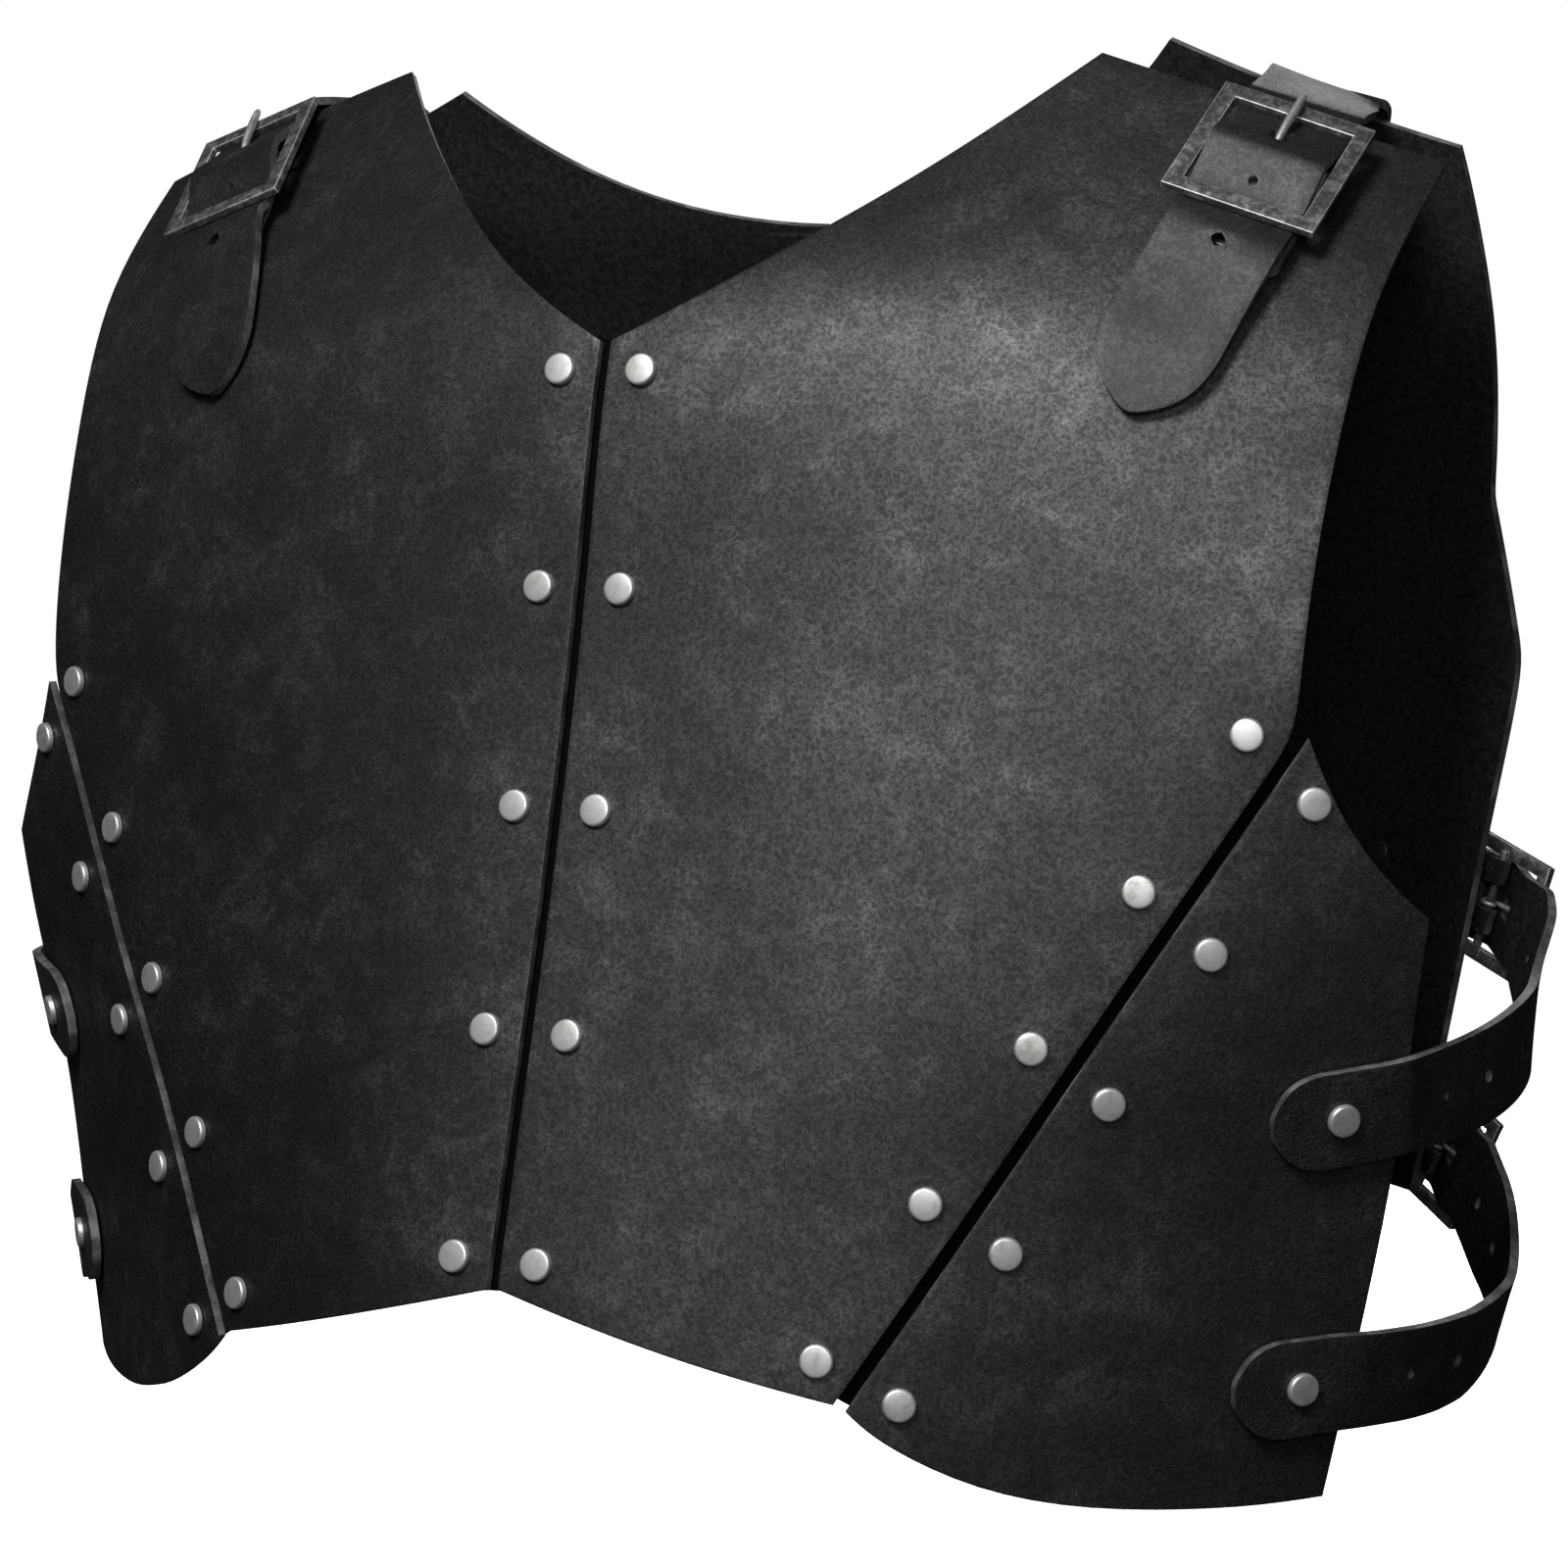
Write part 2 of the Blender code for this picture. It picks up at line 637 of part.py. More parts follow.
def tab_route(fast):
    """Two layers from the rivet to the buckle, with the fold round the centre bar."""
    flat = [TAB_RISE] + spaced(TAB_RISE, fast.tab_rivet, 7.0) + [fast.tab_rivet, fast.tab_rivet + TAB_END]
    points = []
    for distance in reversed(flat):
        spot, out = fast.on_form(distance, TAB_LOWER)
        points.append((spot, -out))
    loop = BAR_RADIUS + LOOP_GAP + TAB_THICKNESS / 2
    for degrees in range(-75, -300, -42):
        a = radians(degrees)
        radial = fast.along * cos(a) + fast.out * sin(a)
        points.append((fast.local(0, 0, -BAR_DROP) + radial * loop, radial))
    points += [fast.on_form(distance, TAB_UPPER) for distance in flat]
    return points


def build_tab(fast, name, mirrored, look):
    ribbon = Ribbon(tab_route(fast), TAB_THICKNESS)
    holes = [ribbon.distance_of(fast.on_form(fast.tab_rivet, lift)[0]) for lift in (TAB_LOWER, TAB_UPPER)]
    fold = [ribbon.distance_of(fast.local(4.5, 0, out - BAR_DROP)) for out in (-3.0, 1.5)]
    stops = {fold[0], fold[1]} | set(spaced(fold[0], fold[1], 2.3))
    for hole in holes:
        stops |= {hole - 4.0, hole + 4.0}
    stops |= set(spaced(holes[0] + 4.0, fold[0], 7.0)) | set(spaced(fold[1], holes[1] - 4.0, 7.0))
    bm, _ = strap_layout(ribbon.length, fast.width / 2 - TAB_NARROWER, stops, 4.0, 4.0)
    open_cells(bm, *fold)
    punch(bm, [(hole, -TAB_SHIFT) for hole in holes])
    wrap(bm, lambda along, across: ribbon.place(along, across + TAB_SHIFT))
    thicken(bm, TAB_THICKNESS)
    finish(bm, name, look, mirrored)


def build_rivet(name, mirrored, look, form, at, top, depth, height):
    """A rivet on its own: its cap stands over the layer at top, and its inner cap is
    under the panel, depth below the form's surface."""
    spot, out = form.place(*at)
    bm = bmesh.new()
    bmesh.ops.create_circle(bm, cap_ends=True, segments=RIVET_SIDES, radius=SHANK_RADIUS)
    turn = out.to_track_quat("Z", "Y").to_matrix().to_4x4()
    bmesh.ops.transform(bm, matrix=Matrix.Translation(spot) @ turn, verts=bm.verts[:])
    disc = next(iter(bm.faces))
    disc.normal_update()
    if disc.normal.dot(out) < 0:
        disc.normal_flip()
    made = bmesh.ops.extrude_face_region(bm, geom=[disc], use_keep_orig=True)
    under = next(f for f in made["geom"] if isinstance(f, bmesh.types.BMFace))
    bmesh.ops.translate(bm, verts=under.verts[:], vec=-out * depth)
    face_outwards(bm)
    grow(bm, disc, cap_steps(top + CAP_LIFT, CAP_RADIUS, height))
    grow(bm, under, inner_cap_steps())
    finish(bm, name, look, mirrored)


# ---- the fastenings ------------------------------------------------------------------------------
# Each pair lies nearly in mirror image. Places are given as on the wearer's left, first
# for the left one and then for the right one.
SHOULDER_SIZES = dict(width=32.6, opening=34.4, rail=4.7, tab_rivet=27, tail=84, turn=-7, lead=4.0, dip=0.3)
SIDE_SIZES = dict(width=26.5, opening=28.2, rail=4.0, tab_rivet=38, tail=86, turn=0, lead=1.8, dip=0.8)

SHOULDERS = [Fastening("shoulder", FRONT, bar_at=(165.3, -35), heading=(-0.205, -0.979), **SHOULDER_SIZES),
             Fastening("shoulder", FRONT, bar_at=(153.5, -33), heading=(-0.22, -0.976), **SHOULDER_SIZES)]
UPPER_SIDE = Fastening("upper_side", BACK, bar_at=(199.2, -239.5), heading=(-0.945, 0.33), **SIDE_SIZES)
LOWER_SIDE = Fastening("lower_side", BACK, bar_at=(185, -311), heading=(-0.88, 0.47), **SIDE_SIZES)

SHOULDER_STRAP_END = 15.0           # from a shoulder strap's rivet to its rear end
SHOULDER_STRAP_SLACK = 0.6         # it spans a slight hollow of the back plate
SHOULDER_STRAP_HEADING = Vector((0.33, 0.945))
SHOULDER_STRAP_RIVETS = [Vector((151, -40.5)), Vector((141, -45.5))]
SHOULDER_TOPS = [
    [dict(x=160.4, y=21.5, z=-7.7), dict(x=163.0, y=10, z=-9.3), dict(x=166.6, y=-1, z=-10.6)],
    [dict(x=152.4, y=21, z=-12.1), dict(x=154.6, y=10, z=-12.5), dict(x=157.0, y=-1, z=-12.6)],
]

SIDE_STRAP_END = 19.5               # from a side strap's rivet to its rounded front end
UPPER_STRAP_HEADING = Vector((1, 0.18))
LOWER_STRAP_HEADING = Vector((1, 0.07))
UPPER_STRAP_RIVETS = [Vector((202.8, -280.2)), Vector((202.8, -280.2))]
LOWER_STRAP_RIVETS = [Vector((192.5, -353.4)), Vector((192.5, -348.0))]
# where the side straps hang free between the breastplate and the back plate
UPPER_SIDE_FREE = [
    dict(x=218.6, y=-69, z=-277.8, tilt=11),
    dict(x=221.6, y=-57, z=-277.4, tilt=4),
    dict(x=225.4, y=-40, z=-276.4, tilt=1),
    dict(x=229.4, y=-18, z=-273.2, tilt=1),
    dict(x=230.2, y=-1, z=-268.8, tilt=4),
    dict(x=226.4, y=14, z=-263.0, tilt=8),
]
LOWER_SIDE_FREE = [
    dict(x=206.6, y=-69.5, z=-353.3, tilt=11),
    dict(x=212.4, y=-58, z=-353.8, tilt=10),
    dict(x=217.5, y=-42, z=-354.6, tilt=10),
    dict(x=222.5, y=-20, z=-353.0, tilt=15),
    dict(x=225.0, y=-3, z=-345.0, tilt=20),
    dict(x=218.0, y=12, z=-331.0, tilt=20),
]


def through_buckle(fast):
    """The strap ducks under an end rail, climbs over the bar and ducks under again,
    then runs over the tab's rivet and settles on the panel."""
    outer, inner = fast.reach + fast.rail / 2 + 1.0, fast.opening / 2 - 1.0
    points = [fast.at_buckle(-outer - fast.lead, UNDER_RAIL - fast.dip), fast.at_buckle(-outer, UNDER_RAIL),
              fast.at_buckle(-inner, UNDER_RAIL + 0.2),
              fast.at_buckle(-inner * 0.5, 0.6), fast.at_buckle(0, OVER_BAR),
              fast.at_buckle(inner * 0.5, 0.6), fast.at_buckle(inner, UNDER_RAIL + 0.2),
              fast.at_buckle(outer, UNDER_RAIL)]
    over_rivet = TAB_TOP + CAP_LIFT + TAB_CAP_HEIGHT + STRAP_THICKNESS / 2
    points.append(fast.on_form(fast.tab_rivet, over_rivet + 1.2))
    for share in (0.35, 0.7, 1.0):
        distance = fast.tab_rivet + (fast.tail - fast.tab_rivet) * share
        points.append(fast.on_tail(distance, STRAP_LIFT + 1.5 * (1 - share)))
    return points


def free_points(rows):
    """The stretch where a side strap hangs free: it bows out from the body, and it
    leans out at the top by its tilt."""
    spots = [Vector((row["x"], row["y"], row["z"])) for row in rows]
    points = []
    for i, (spot, row) in enumerate(zip(spots, rows)):
        along = spots[min(i + 1, len(spots) - 1)] - spots[max(i - 1, 0)]
        sideways = Vector((along.y, -along.x, 0)).normalized()
        tilt = radians(row["tilt"])
        points.append((spot, sideways * cos(tilt) - Vector((0, 0, sin(tilt)))))
    return points


def side_route(fast, rivet_at, heading, free_rows):
    """From the rounded end over the rivet to the panel's edge, free, and through the buckle."""
    on_panel = [SIDE_STRAP_END * k / 3 for k in range(-3, 3)]
    points = [FRONT.place(*FRONT.run(rivet_at, heading, d), STRAP_LIFT + 0.04 * max(d, 0))
              for d in on_panel]
    return points + free_points(free_rows) + through_buckle(fast)


def shoulder_route(fast, rivet_at, top_rows):
    """From the rear end over the rivet to the back's top edge, forward and through the buckle."""
    points = []
    for d in (-SHOULDER_STRAP_END, -7.5, 0.0, 8.0, 16.0, 24.0, 31.0):
        lift = STRAP_LIFT + SHOULDER_STRAP_SLACK + 0.03 * max(d, 0)
        points.append(BACK.place(*BACK.run(rivet_at, SHOULDER_STRAP_HEADING, d), lift))
    for row in top_rows:
        lean = Vector((0.37, 0, 0.93)).lerp(Vector((0, 1, 0)), row["y"] / 60)
        points.append((Vector((row["x"], row["y"], row["z"])), lean.normalized()))
    return points + through_buckle(fast)


# ---- pieces --------------------------------------------------------------------------------------
BLACK_LEATHER = ((0.030, 0.031, 0.034), 0.62, 0.0)
STRAP_LEATHER = ((0.018, 0.019, 0.020), 0.48, 0.0)
BRUSHED_NICKEL = ((0.58, 0.56, 0.52), 0.34, 1.0)
OLD_SILVER = ((0.30, 0.31, 0.31), 0.42, 1.0)


def tab_spot(fast):
    """Where a tab is riveted to its panel."""
    return fast.form.run(fast.bar_at, fast.heading, fast.tab_rivet)


def build_panel(name, mirrored, look, layout, form, rivets):
    bm = layout
    punch(bm, rivets)
    wrap(bm, form.place)
    thicken(bm, PANEL_THICKNESS)
    finish(bm, name, look, mirrored, smooth=True)


def chest_panel(name, mirrored, look):
    rows = two_part_rows(lines(SEAM_LENGTH, (3.5, 12), 10, (11,)), lines(90, (10,), 5, (10,)))
    rivets = front_centre_rivets() + seam_rivets(1) + [tab_spot(SHOULDERS[mirrored])]
    build_panel(name, mirrored, look, panel_layout(chest_edges(), rows, 6, (5.5, 16.5)), FRONT, rivets)


def side_panel(name, mirrored, look):
    rows = lines(SEAM_LENGTH, (3.5, 12), 10, (1.7, 9.5))
    rivets = seam_rivets(-1) + [UPPER_STRAP_RIVETS[mirrored], LOWER_STRAP_RIVETS[mirrored]]
    build_panel(name, mirrored, look, panel_layout(side_edges(), rows, 3, (4.5, 15)), FRONT, rivets)


def back_panel(name, mirrored, look):
    rows = two_part_rows(lines(265, (3.5, 14), 10, (11,)), lines(120, (12,), 4, (12,)))
    rivets = back_centre_rivets() + [tab_spot(UPPER_SIDE), tab_spot(LOWER_SIDE)]
    rivets.append(SHOULDER_STRAP_RIVETS[mirrored])
    build_panel(name, mirrored, look, panel_layout(back_edges(mirrored), rows, 6, (5.5, 16.5)), BACK, rivets)


def strip(name, form, rows, columns, spot, rivets, look, mirrored=False):
    """A strip behind a seam, in one piece with the rivets that hold the panels to it."""
    bm = grid(columns, rows, spot)
    punch(bm, rivets, radius=SHANK_RADIUS, through=False)
    depth = PANEL_THICKNESS + LAYER_GAP
    wrap(bm, lambda x, z: form.place(x, z, -depth))
    layer = bm.verts.layers.float_vector["out"]
    thicken(bm, STRIP_THICKNESS)
    for face in [f for f in bm.faces if len(f.verts) == RIVET_SIDES]:
        outward = sum((v[layer] for v in face.verts), Vector())
        if face.normal.dot(outward) > 0:
            grow(bm, face, cap_steps(depth + CAP_LIFT, CAP_RADIUS, CAP_HEIGHT))
        else:
            grow(bm, face, inner_cap_steps())
    finish(bm, name, look, mirrored)


RIVET_CELL = 3.8                                        # half of the cell round a rivet
CENTRE_LINES = (-21.0, -19.0, -6.0, 6.0, 19.0, 21.0)    # across a strip on the centre line
SEAM_LINES = (-19.3, -17.3, -5.5, 5.5, 17.3, 19.3)      # across a strip on a diagonal seam


def rows_past(start, stop, rivets):
    """Row lines from start to stop with one cell on each rivet and two between them."""
    marks = [start]
    for at in rivets:
        low, high = sorted((at - RIVET_CELL, at + RIVET_CELL), key=lambda mark: abs(mark - start))
        if at != rivets[0]:
            marks += [marks[-1] + (low - marks[-1]) * k / 3 for k in (1, 2)]
        marks += [low, high]
    return marks + [stop]


def centre_strip(name, form, foot, neck, hem_rise, neck_rise, rivets, look):
    """foot and neck are heights at the centre line; the ends rise from there by x."""
    reach = CENTRE_RIVET_INSET
    rows = rows_past(neck - 1.5 + neck_rise * reach, foot + 1.5 + hem_rise * reach, [at.y for at in rivets])
    rows.reverse()

    def spot(column, row):
        x = CENTRE_LINES[column]
        share = (rows[row] - rows[0]) / (rows[-1] - rows[0])
        return x, rows[row] + (abs(x) - reach) * (hem_rise * (1 - share) + neck_rise * share)

    both = rivets + [Vector((-at.x, at.y)) for at in rivets]
    strip(name, form, len(rows) - 1, len(CENTRE_LINES) - 1, spot, both, look)


def seam_strip(name, mirrored, look):
    """Its top end is square behind the chest panel and follows the armhole behind the side panel."""
    down = [[(at - SEAM_TOP).dot(SEAM_DOWN) for at in seam_rivets(side)] for side in (1, -1)]
    chest_rows = rows_past(1.0, SEAM_LENGTH - 1.5, down[0])
    side_rows = rows_past(0.75 * SEAM_RIVET_INSET + 1.0, SEAM_LENGTH - 1.5, down[1])
    count = len(chest_rows) - 1

    def spot(column, row):
        inward = SEAM_LINES[column]
        chest, side = chest_rows[count - row], side_rows[count - row]
        share = 0.5 + 0.5 * inward / SEAM_RIVET_INSET
        along = chest if inward > SEAM_RIVET_INSET else side + (chest - side) * share
        return SEAM_TOP + SEAM_INWARD * inward + SEAM_DOWN * along

    strip(name, FRONT, count, len(SEAM_LINES) - 1, spot, seam_rivets(1) + seam_rivets(-1), look, mirrored)


def build_fastening(fast, mirrored, route, rivet_form, rivet_at, slack, holes, looks, front_holes=()):
    """A strap with its buckle, prong, tab and two rivets. The holes are given by their
    distances along the strap, past the centre bar or, for those in front, past the rivet."""
    leather, metal, nickel = looks
    side = "_right" if mirrored else "_left"
    ribbon = Ribbon(route, STRAP_THICKNESS)
    over_bar = ribbon.distance_of(fast.local(0, 0, OVER_BAR))
    rivet = ribbon.distance_of(rivet_form.place(*rivet_at, STRAP_LIFT)[0])
    slot = (over_bar - 12.5, over_bar - 2.0)
    marks = [over_bar + hole for hole in holes] + [rivet + hole for hole in front_holes]
    build_strap(fast.name + "_strap" + side, mirrored, leather, ribbon, fast.width, marks, rivet, slot)
    build_frame(fast, fast.name + "_buckle" + side, mirrored, metal)
    build_prong(fast, fast.name + "_prong" + side, mirrored, metal)
    build_tab(fast, fast.name + "_tab" + side, mirrored, leather)
    build_rivet(fast.name + "_strap_rivet" + side, mirrored, nickel, rivet_form, rivet_at,
                LAYER_GAP + STRAP_THICKNESS + 1.3 * slack, PANEL_THICKNESS, CAP_HEIGHT)
    build_rivet(fast.name + "_tab_rivet" + side, mirrored, nickel, fast.form, tab_spot(fast),
                TAB_TOP, PANEL_THICKNESS, TAB_CAP_HEIGHT)


def main():
    for old in list(bpy.data.objects):
        bpy.data.objects.remove(old)
    leather = material("black_leather", *BLACK_LEATHER)
    looks = (material("strap_leather", *STRAP_LEATHER), material("old_silver", *OLD_SILVER),
             material("brushed_nickel", *BRUSHED_NICKEL))

    for build, name in ((chest_panel, "chest_panel"), (side_panel, "side_panel"),
                        (back_panel, "back_panel"), (seam_strip, "seam_strip")):
        both_sides(lambda name, mirrored: build(name, mirrored, leather), name)
    centre_strip("front_centre_strip", FRONT, HEM_POINT.y, NECK_POINT.y, -0.26, 0.49,
                 front_centre_rivets(), leather)
    centre_strip("back_centre_strip", BACK, BACK_HEM.y, BACK_NECK.y, -0.06, 0.02,
                 back_centre_rivets(), leather)

    for mirrored in (False, True):
        fast = SHOULDERS[mirrored]
        at = SHOULDER_STRAP_RIVETS[mirrored]
        build_fastening(fast, mirrored, shoulder_route(fast, at, SHOULDER_TOPS[mirrored]),
                        BACK, at, SHOULDER_STRAP_SLACK, (11, 34), looks)
        for fast, at, heading, free in (
                (UPPER_SIDE, UPPER_STRAP_RIVETS[mirrored], UPPER_STRAP_HEADING, UPPER_SIDE_FREE),
                (LOWER_SIDE, LOWER_STRAP_RIVETS[mirrored], LOWER_STRAP_HEADING, LOWER_SIDE_FREE)):
            build_fastening(fast, mirrored, side_route(fast, at, heading, free),
                            FRONT, at, 0, (-58, -35, 30, 46), looks, front_holes=(36, 59))


main()
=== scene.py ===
# %% [markdown]
# # Black leather chest armour
# The armour is a breastplate and a back plate cut from stiff black leather, riveted together
# from panels and closed over the shoulders and at the sides with buckled straps. The packed
# model gives every piece its place and size. This script turns its plain solids into finished
# leather and metal: smooth panels with rounded edges, domed rivets, worn silver buckles.

# %% Load the frame
from math import radians

import bmesh
import bpy
from mathutils import Matrix, Vector, kdtree


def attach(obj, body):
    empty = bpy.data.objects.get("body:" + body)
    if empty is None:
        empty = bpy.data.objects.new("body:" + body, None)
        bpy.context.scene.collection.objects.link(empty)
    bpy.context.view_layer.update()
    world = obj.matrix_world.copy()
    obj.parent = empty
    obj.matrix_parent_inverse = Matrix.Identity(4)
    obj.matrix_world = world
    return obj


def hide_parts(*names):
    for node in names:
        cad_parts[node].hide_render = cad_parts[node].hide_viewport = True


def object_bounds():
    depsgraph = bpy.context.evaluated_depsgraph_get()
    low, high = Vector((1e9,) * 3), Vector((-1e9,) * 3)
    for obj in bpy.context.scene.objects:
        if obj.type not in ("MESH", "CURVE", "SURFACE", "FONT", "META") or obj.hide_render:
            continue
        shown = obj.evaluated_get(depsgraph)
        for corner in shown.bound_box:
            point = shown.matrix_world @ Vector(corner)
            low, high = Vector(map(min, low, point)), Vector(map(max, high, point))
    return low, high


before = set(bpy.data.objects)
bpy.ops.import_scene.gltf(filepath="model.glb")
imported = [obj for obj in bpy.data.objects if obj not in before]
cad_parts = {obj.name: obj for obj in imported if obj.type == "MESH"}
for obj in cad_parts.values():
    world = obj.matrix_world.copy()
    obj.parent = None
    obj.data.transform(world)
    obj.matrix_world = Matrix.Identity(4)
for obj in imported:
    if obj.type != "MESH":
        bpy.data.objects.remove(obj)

MM = 0.001
SIDES = ("left", "right")
cad_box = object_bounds()
print(len(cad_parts), "nodes between", [round(v, 3) for v in cad_box[0]],
      "and", [round(v, 3) for v in cad_box[1]])

# %% [markdown]
# ## The camera
# It comes first, so that every piece can be looked at as it is made. It stands in front of the
# wearer's left side, a little above the middle of the chest, with a long lens that keeps the
# plates from looking stretched.

# %% Camera
CAMERA_PLACE = (0.5702, -1.1577, -0.0689)
CAMERA_TILT, CAMERA_TURN = radians(83.748), radians(26.194)     # 90 degrees of tilt looks level
LENS_MM, SENSOR_MM = 100, 36


def place_camera():
    lens = bpy.data.cameras.new("camera")
    lens.lens, lens.sensor_width = LENS_MM, SENSOR_MM
    camera = bpy.data.objects.new("camera", lens)
    camera.location = CAMERA_PLACE
    camera.rotation_euler = (CAMERA_TILT, 0, CAMERA_TURN)
    bpy.context.scene.collection.objects.link(camera)
    bpy.context.scene.camera = camera
    return camera


print("camera at", tuple(round(v, 3) for v in place_camera().location))

# %% [markdown]
# ## A small kit for finishes
# A finish is a network of shader nodes. Written out link by link, even a simple sum is hard to
# read, so two small classes help. `Wire` wraps a socket and lets Python's own operators add the
# Math nodes, and `Finish` owns one material and adds any other node with a single call.

# %% Wire: a socket that can be added and multiplied
class Wire:
    def __init__(self, finish, socket):
        self.finish, self.socket = finish, socket

    def math(self, operation, other, turned=False):
        first, second = (other, self) if turned else (self, other)
        return self.finish.node("ShaderNodeMath", {"operation": operation}, {0: first, 1: second})

    def __add__(self, other):
        return self.math("ADD", other)

    def __radd__(self, other):
        return self.math("ADD", other, True)

    def __sub__(self, other):
        return self.math("SUBTRACT", other)

    def __rsub__(self, other):
        return self.math("SUBTRACT", other, True)

    def __mul__(self, other):
        return self.math("MULTIPLY", other)

    def __rmul__(self, other):
        return self.math("MULTIPLY", other, True)

    def __abs__(self):
        return self.math("ABSOLUTE", 0)

    def ramp(self, low, high):
        """0 below low, 1 above high, and a smooth step between them."""
        return self.finish.node("ShaderNodeMapRange", {"interpolation_type": "SMOOTHSTEP"},
                                {"Value": self, "From Min": low, "From Max": high})


# %% Finish: one material and its nodes
class Finish:
    def __init__(self, name, **constants):
        self.material = bpy.data.materials.new(name)
        self.material.use_nodes = True
        self.nodes = self.material.node_tree.nodes
        self.links = self.material.node_tree.links
        self.shader = self.nodes["Principled BSDF"]
        for socket, value in constants.items():
            self.shader.inputs[socket.replace("_", " ")].default_value = value

    def feed(self, socket, value):
        if isinstance(value, Wire):
            self.links.new(value.socket, socket)
        else:
            socket.default_value = value

    def node(self, kind, settings, inputs, output=0):
        made = self.nodes.new(kind)
        for name, value in settings.items():
            setattr(made, name, value)
        for name, value in inputs.items():
            self.feed(made.inputs[name], value)
        return Wire(self, made.outputs[output])

    def place(self):
        """The point on the object, in metres."""
        return self.node("ShaderNodeTexCoord", {}, {}, "Object")

    def part(self, where, axis):
        """One coordinate of a point: 0, 1 or 2 for X, Y or Z."""
        return self.node("ShaderNodeSeparateXYZ", {}, {"Vector": where}, axis)

    def noise(self, where, scale, detail, roughness, distortion=0.0):
        return self.node("ShaderNodeTexNoise", {}, {
            "Vector": where, "Scale": scale, "Detail": detail,
            "Roughness": roughness, "Distortion": distortion})

    def stretched(self, where, scale, turn):
        return self.node("ShaderNodeMapping", {}, {"Vector": where, "Scale": scale, "Rotation": turn})

    def attribute(self, name):
        return self.node("ShaderNodeAttribute", {"attribute_name": name}, {}, "Fac")

    def mix(self, share, low, high):
        return self.node("ShaderNodeMix", {"data_type": "RGBA"}, {0: share, 6: low, 7: high}, 2)

    def bump(self, height, distance, strength):
        normal = self.node("ShaderNodeBump", {}, {
            "Height": height, "Distance": distance, "Strength": strength})
        self.feed(self.shader.inputs["Normal"], normal)

    def shade(self, colour, roughness):
        self.feed(self.shader.inputs["Base Color"], colour)
        self.feed(self.shader.inputs["Roughness"], roughness)
        print("finish", self.material.name, "has", len(self.nodes), "nodes")
        return self.material


# %% [markdown]
# ## The leather
# The panels are cut from black leather with a distressed, cloudy finish. Pale scuffs drift
# over the black in patches, and a net of fine raised ridges, which catch the light, runs
# through everything. The pattern could come from an image, but noise in layers does it with no
# seams: one broad noise sets where the scuffs lie, and finer ones fray them. A noise's scale
# counts its features to the metre, so 17 makes clouds of six centimetres, and 470 a grain of
# two millimetres. For the ridges, a noise is folded at its middle value, which leaves a net of
# thin winding lines. The same net makes the relief and sets how much wax shines, so that light
# and shape agree.

# %% Black leather, grain side
def ridges(finish, where, scale, width):
    """1 along thin winding lines, and 0 between them."""
    waves = finish.noise(where, scale, 2.5, 0.62, 0.35)
    return 1 - abs(2 * waves - 1).ramp(0.0, width)


def leather_grain(finish, where, scale):
    """Crinkled ridges of two sizes with a finely pebbled surface between them."""
    pebbles = finish.noise(where, scale * 1.8, 2.0, 0.6).ramp(0.35, 0.70)
    fine = ridges(finish, where, scale, 0.19)
    coarse = ridges(finish, where, scale * 0.5, 0.12)
    return 0.20 + 0.45 * fine + 0.12 * coarse + 0.25 * pebbles


def sheen(finish, amount):
    """A worn wax finish over the grain, which reflects more in some places than in others."""
    finish.feed(finish.shader.inputs["Coat Weight"], amount)


WAX_FROM_RIGHT = (-0.06, 0.02)      # metres, from the worn side of the chest to the waxed one
WAX_FROM_HEM = (-0.29, -0.05)       # and from low to high
WAX_GONE = 0.48


def waxed(finish, where):
    """How much wax is left: about half of it has gone low on the wearer's right."""
    left = finish.part(where, 0).ramp(*WAX_FROM_RIGHT)
    high = finish.part(where, 2).ramp(*WAX_FROM_HEM)
    return 1 - WAX_GONE * (1 - left) * (1 - high)


JET_BLACK = (0.0025, 0.0027, 0.0029, 1)
SCUFFED_BLACK = (0.066, 0.069, 0.072, 1)


def black_leather():
    finish = Finish("black_leather_grain", Specular_IOR_Level=0.10, Coat_Roughness=0.54,
                    Coat_IOR=2.05)
    where = finish.place()
    grain = leather_grain(finish, where, 470.0)
    clouds = finish.noise(where, 17.0, 5.0, 0.62, 0.5).ramp(0.38, 0.66)
    patches = finish.noise(where, 75.0, 6.0, 0.7, 0.4).ramp(0.46, 0.66)
    flecks = finish.noise(where, 520.0, 4.0, 0.75).ramp(0.50, 0.66)
    scuff = 0.35 * clouds + 0.65 * clouds * patches + 0.35 * patches
    edge = 1 - finish.attribute("edge_mm").ramp(0.2, 1.6)
    tone = 0.03 + (0.04 + 0.36 * scuff) * grain + 0.16 * scuff * flecks + 0.25 * edge * flecks
    colour = finish.mix(tone, JET_BLACK, SCUFFED_BLACK)
    wax = waxed(finish, where)
    sheen(finish, wax * (0.16 + (0.55 + 0.54 * scuff) * grain + 0.12 * scuff * flecks))
    finish.bump(grain, 1.0 * MM, 1.0)
    return finish.shade(colour, 0.75 - 0.10 * grain)


BLACK_GRAIN = black_leather()
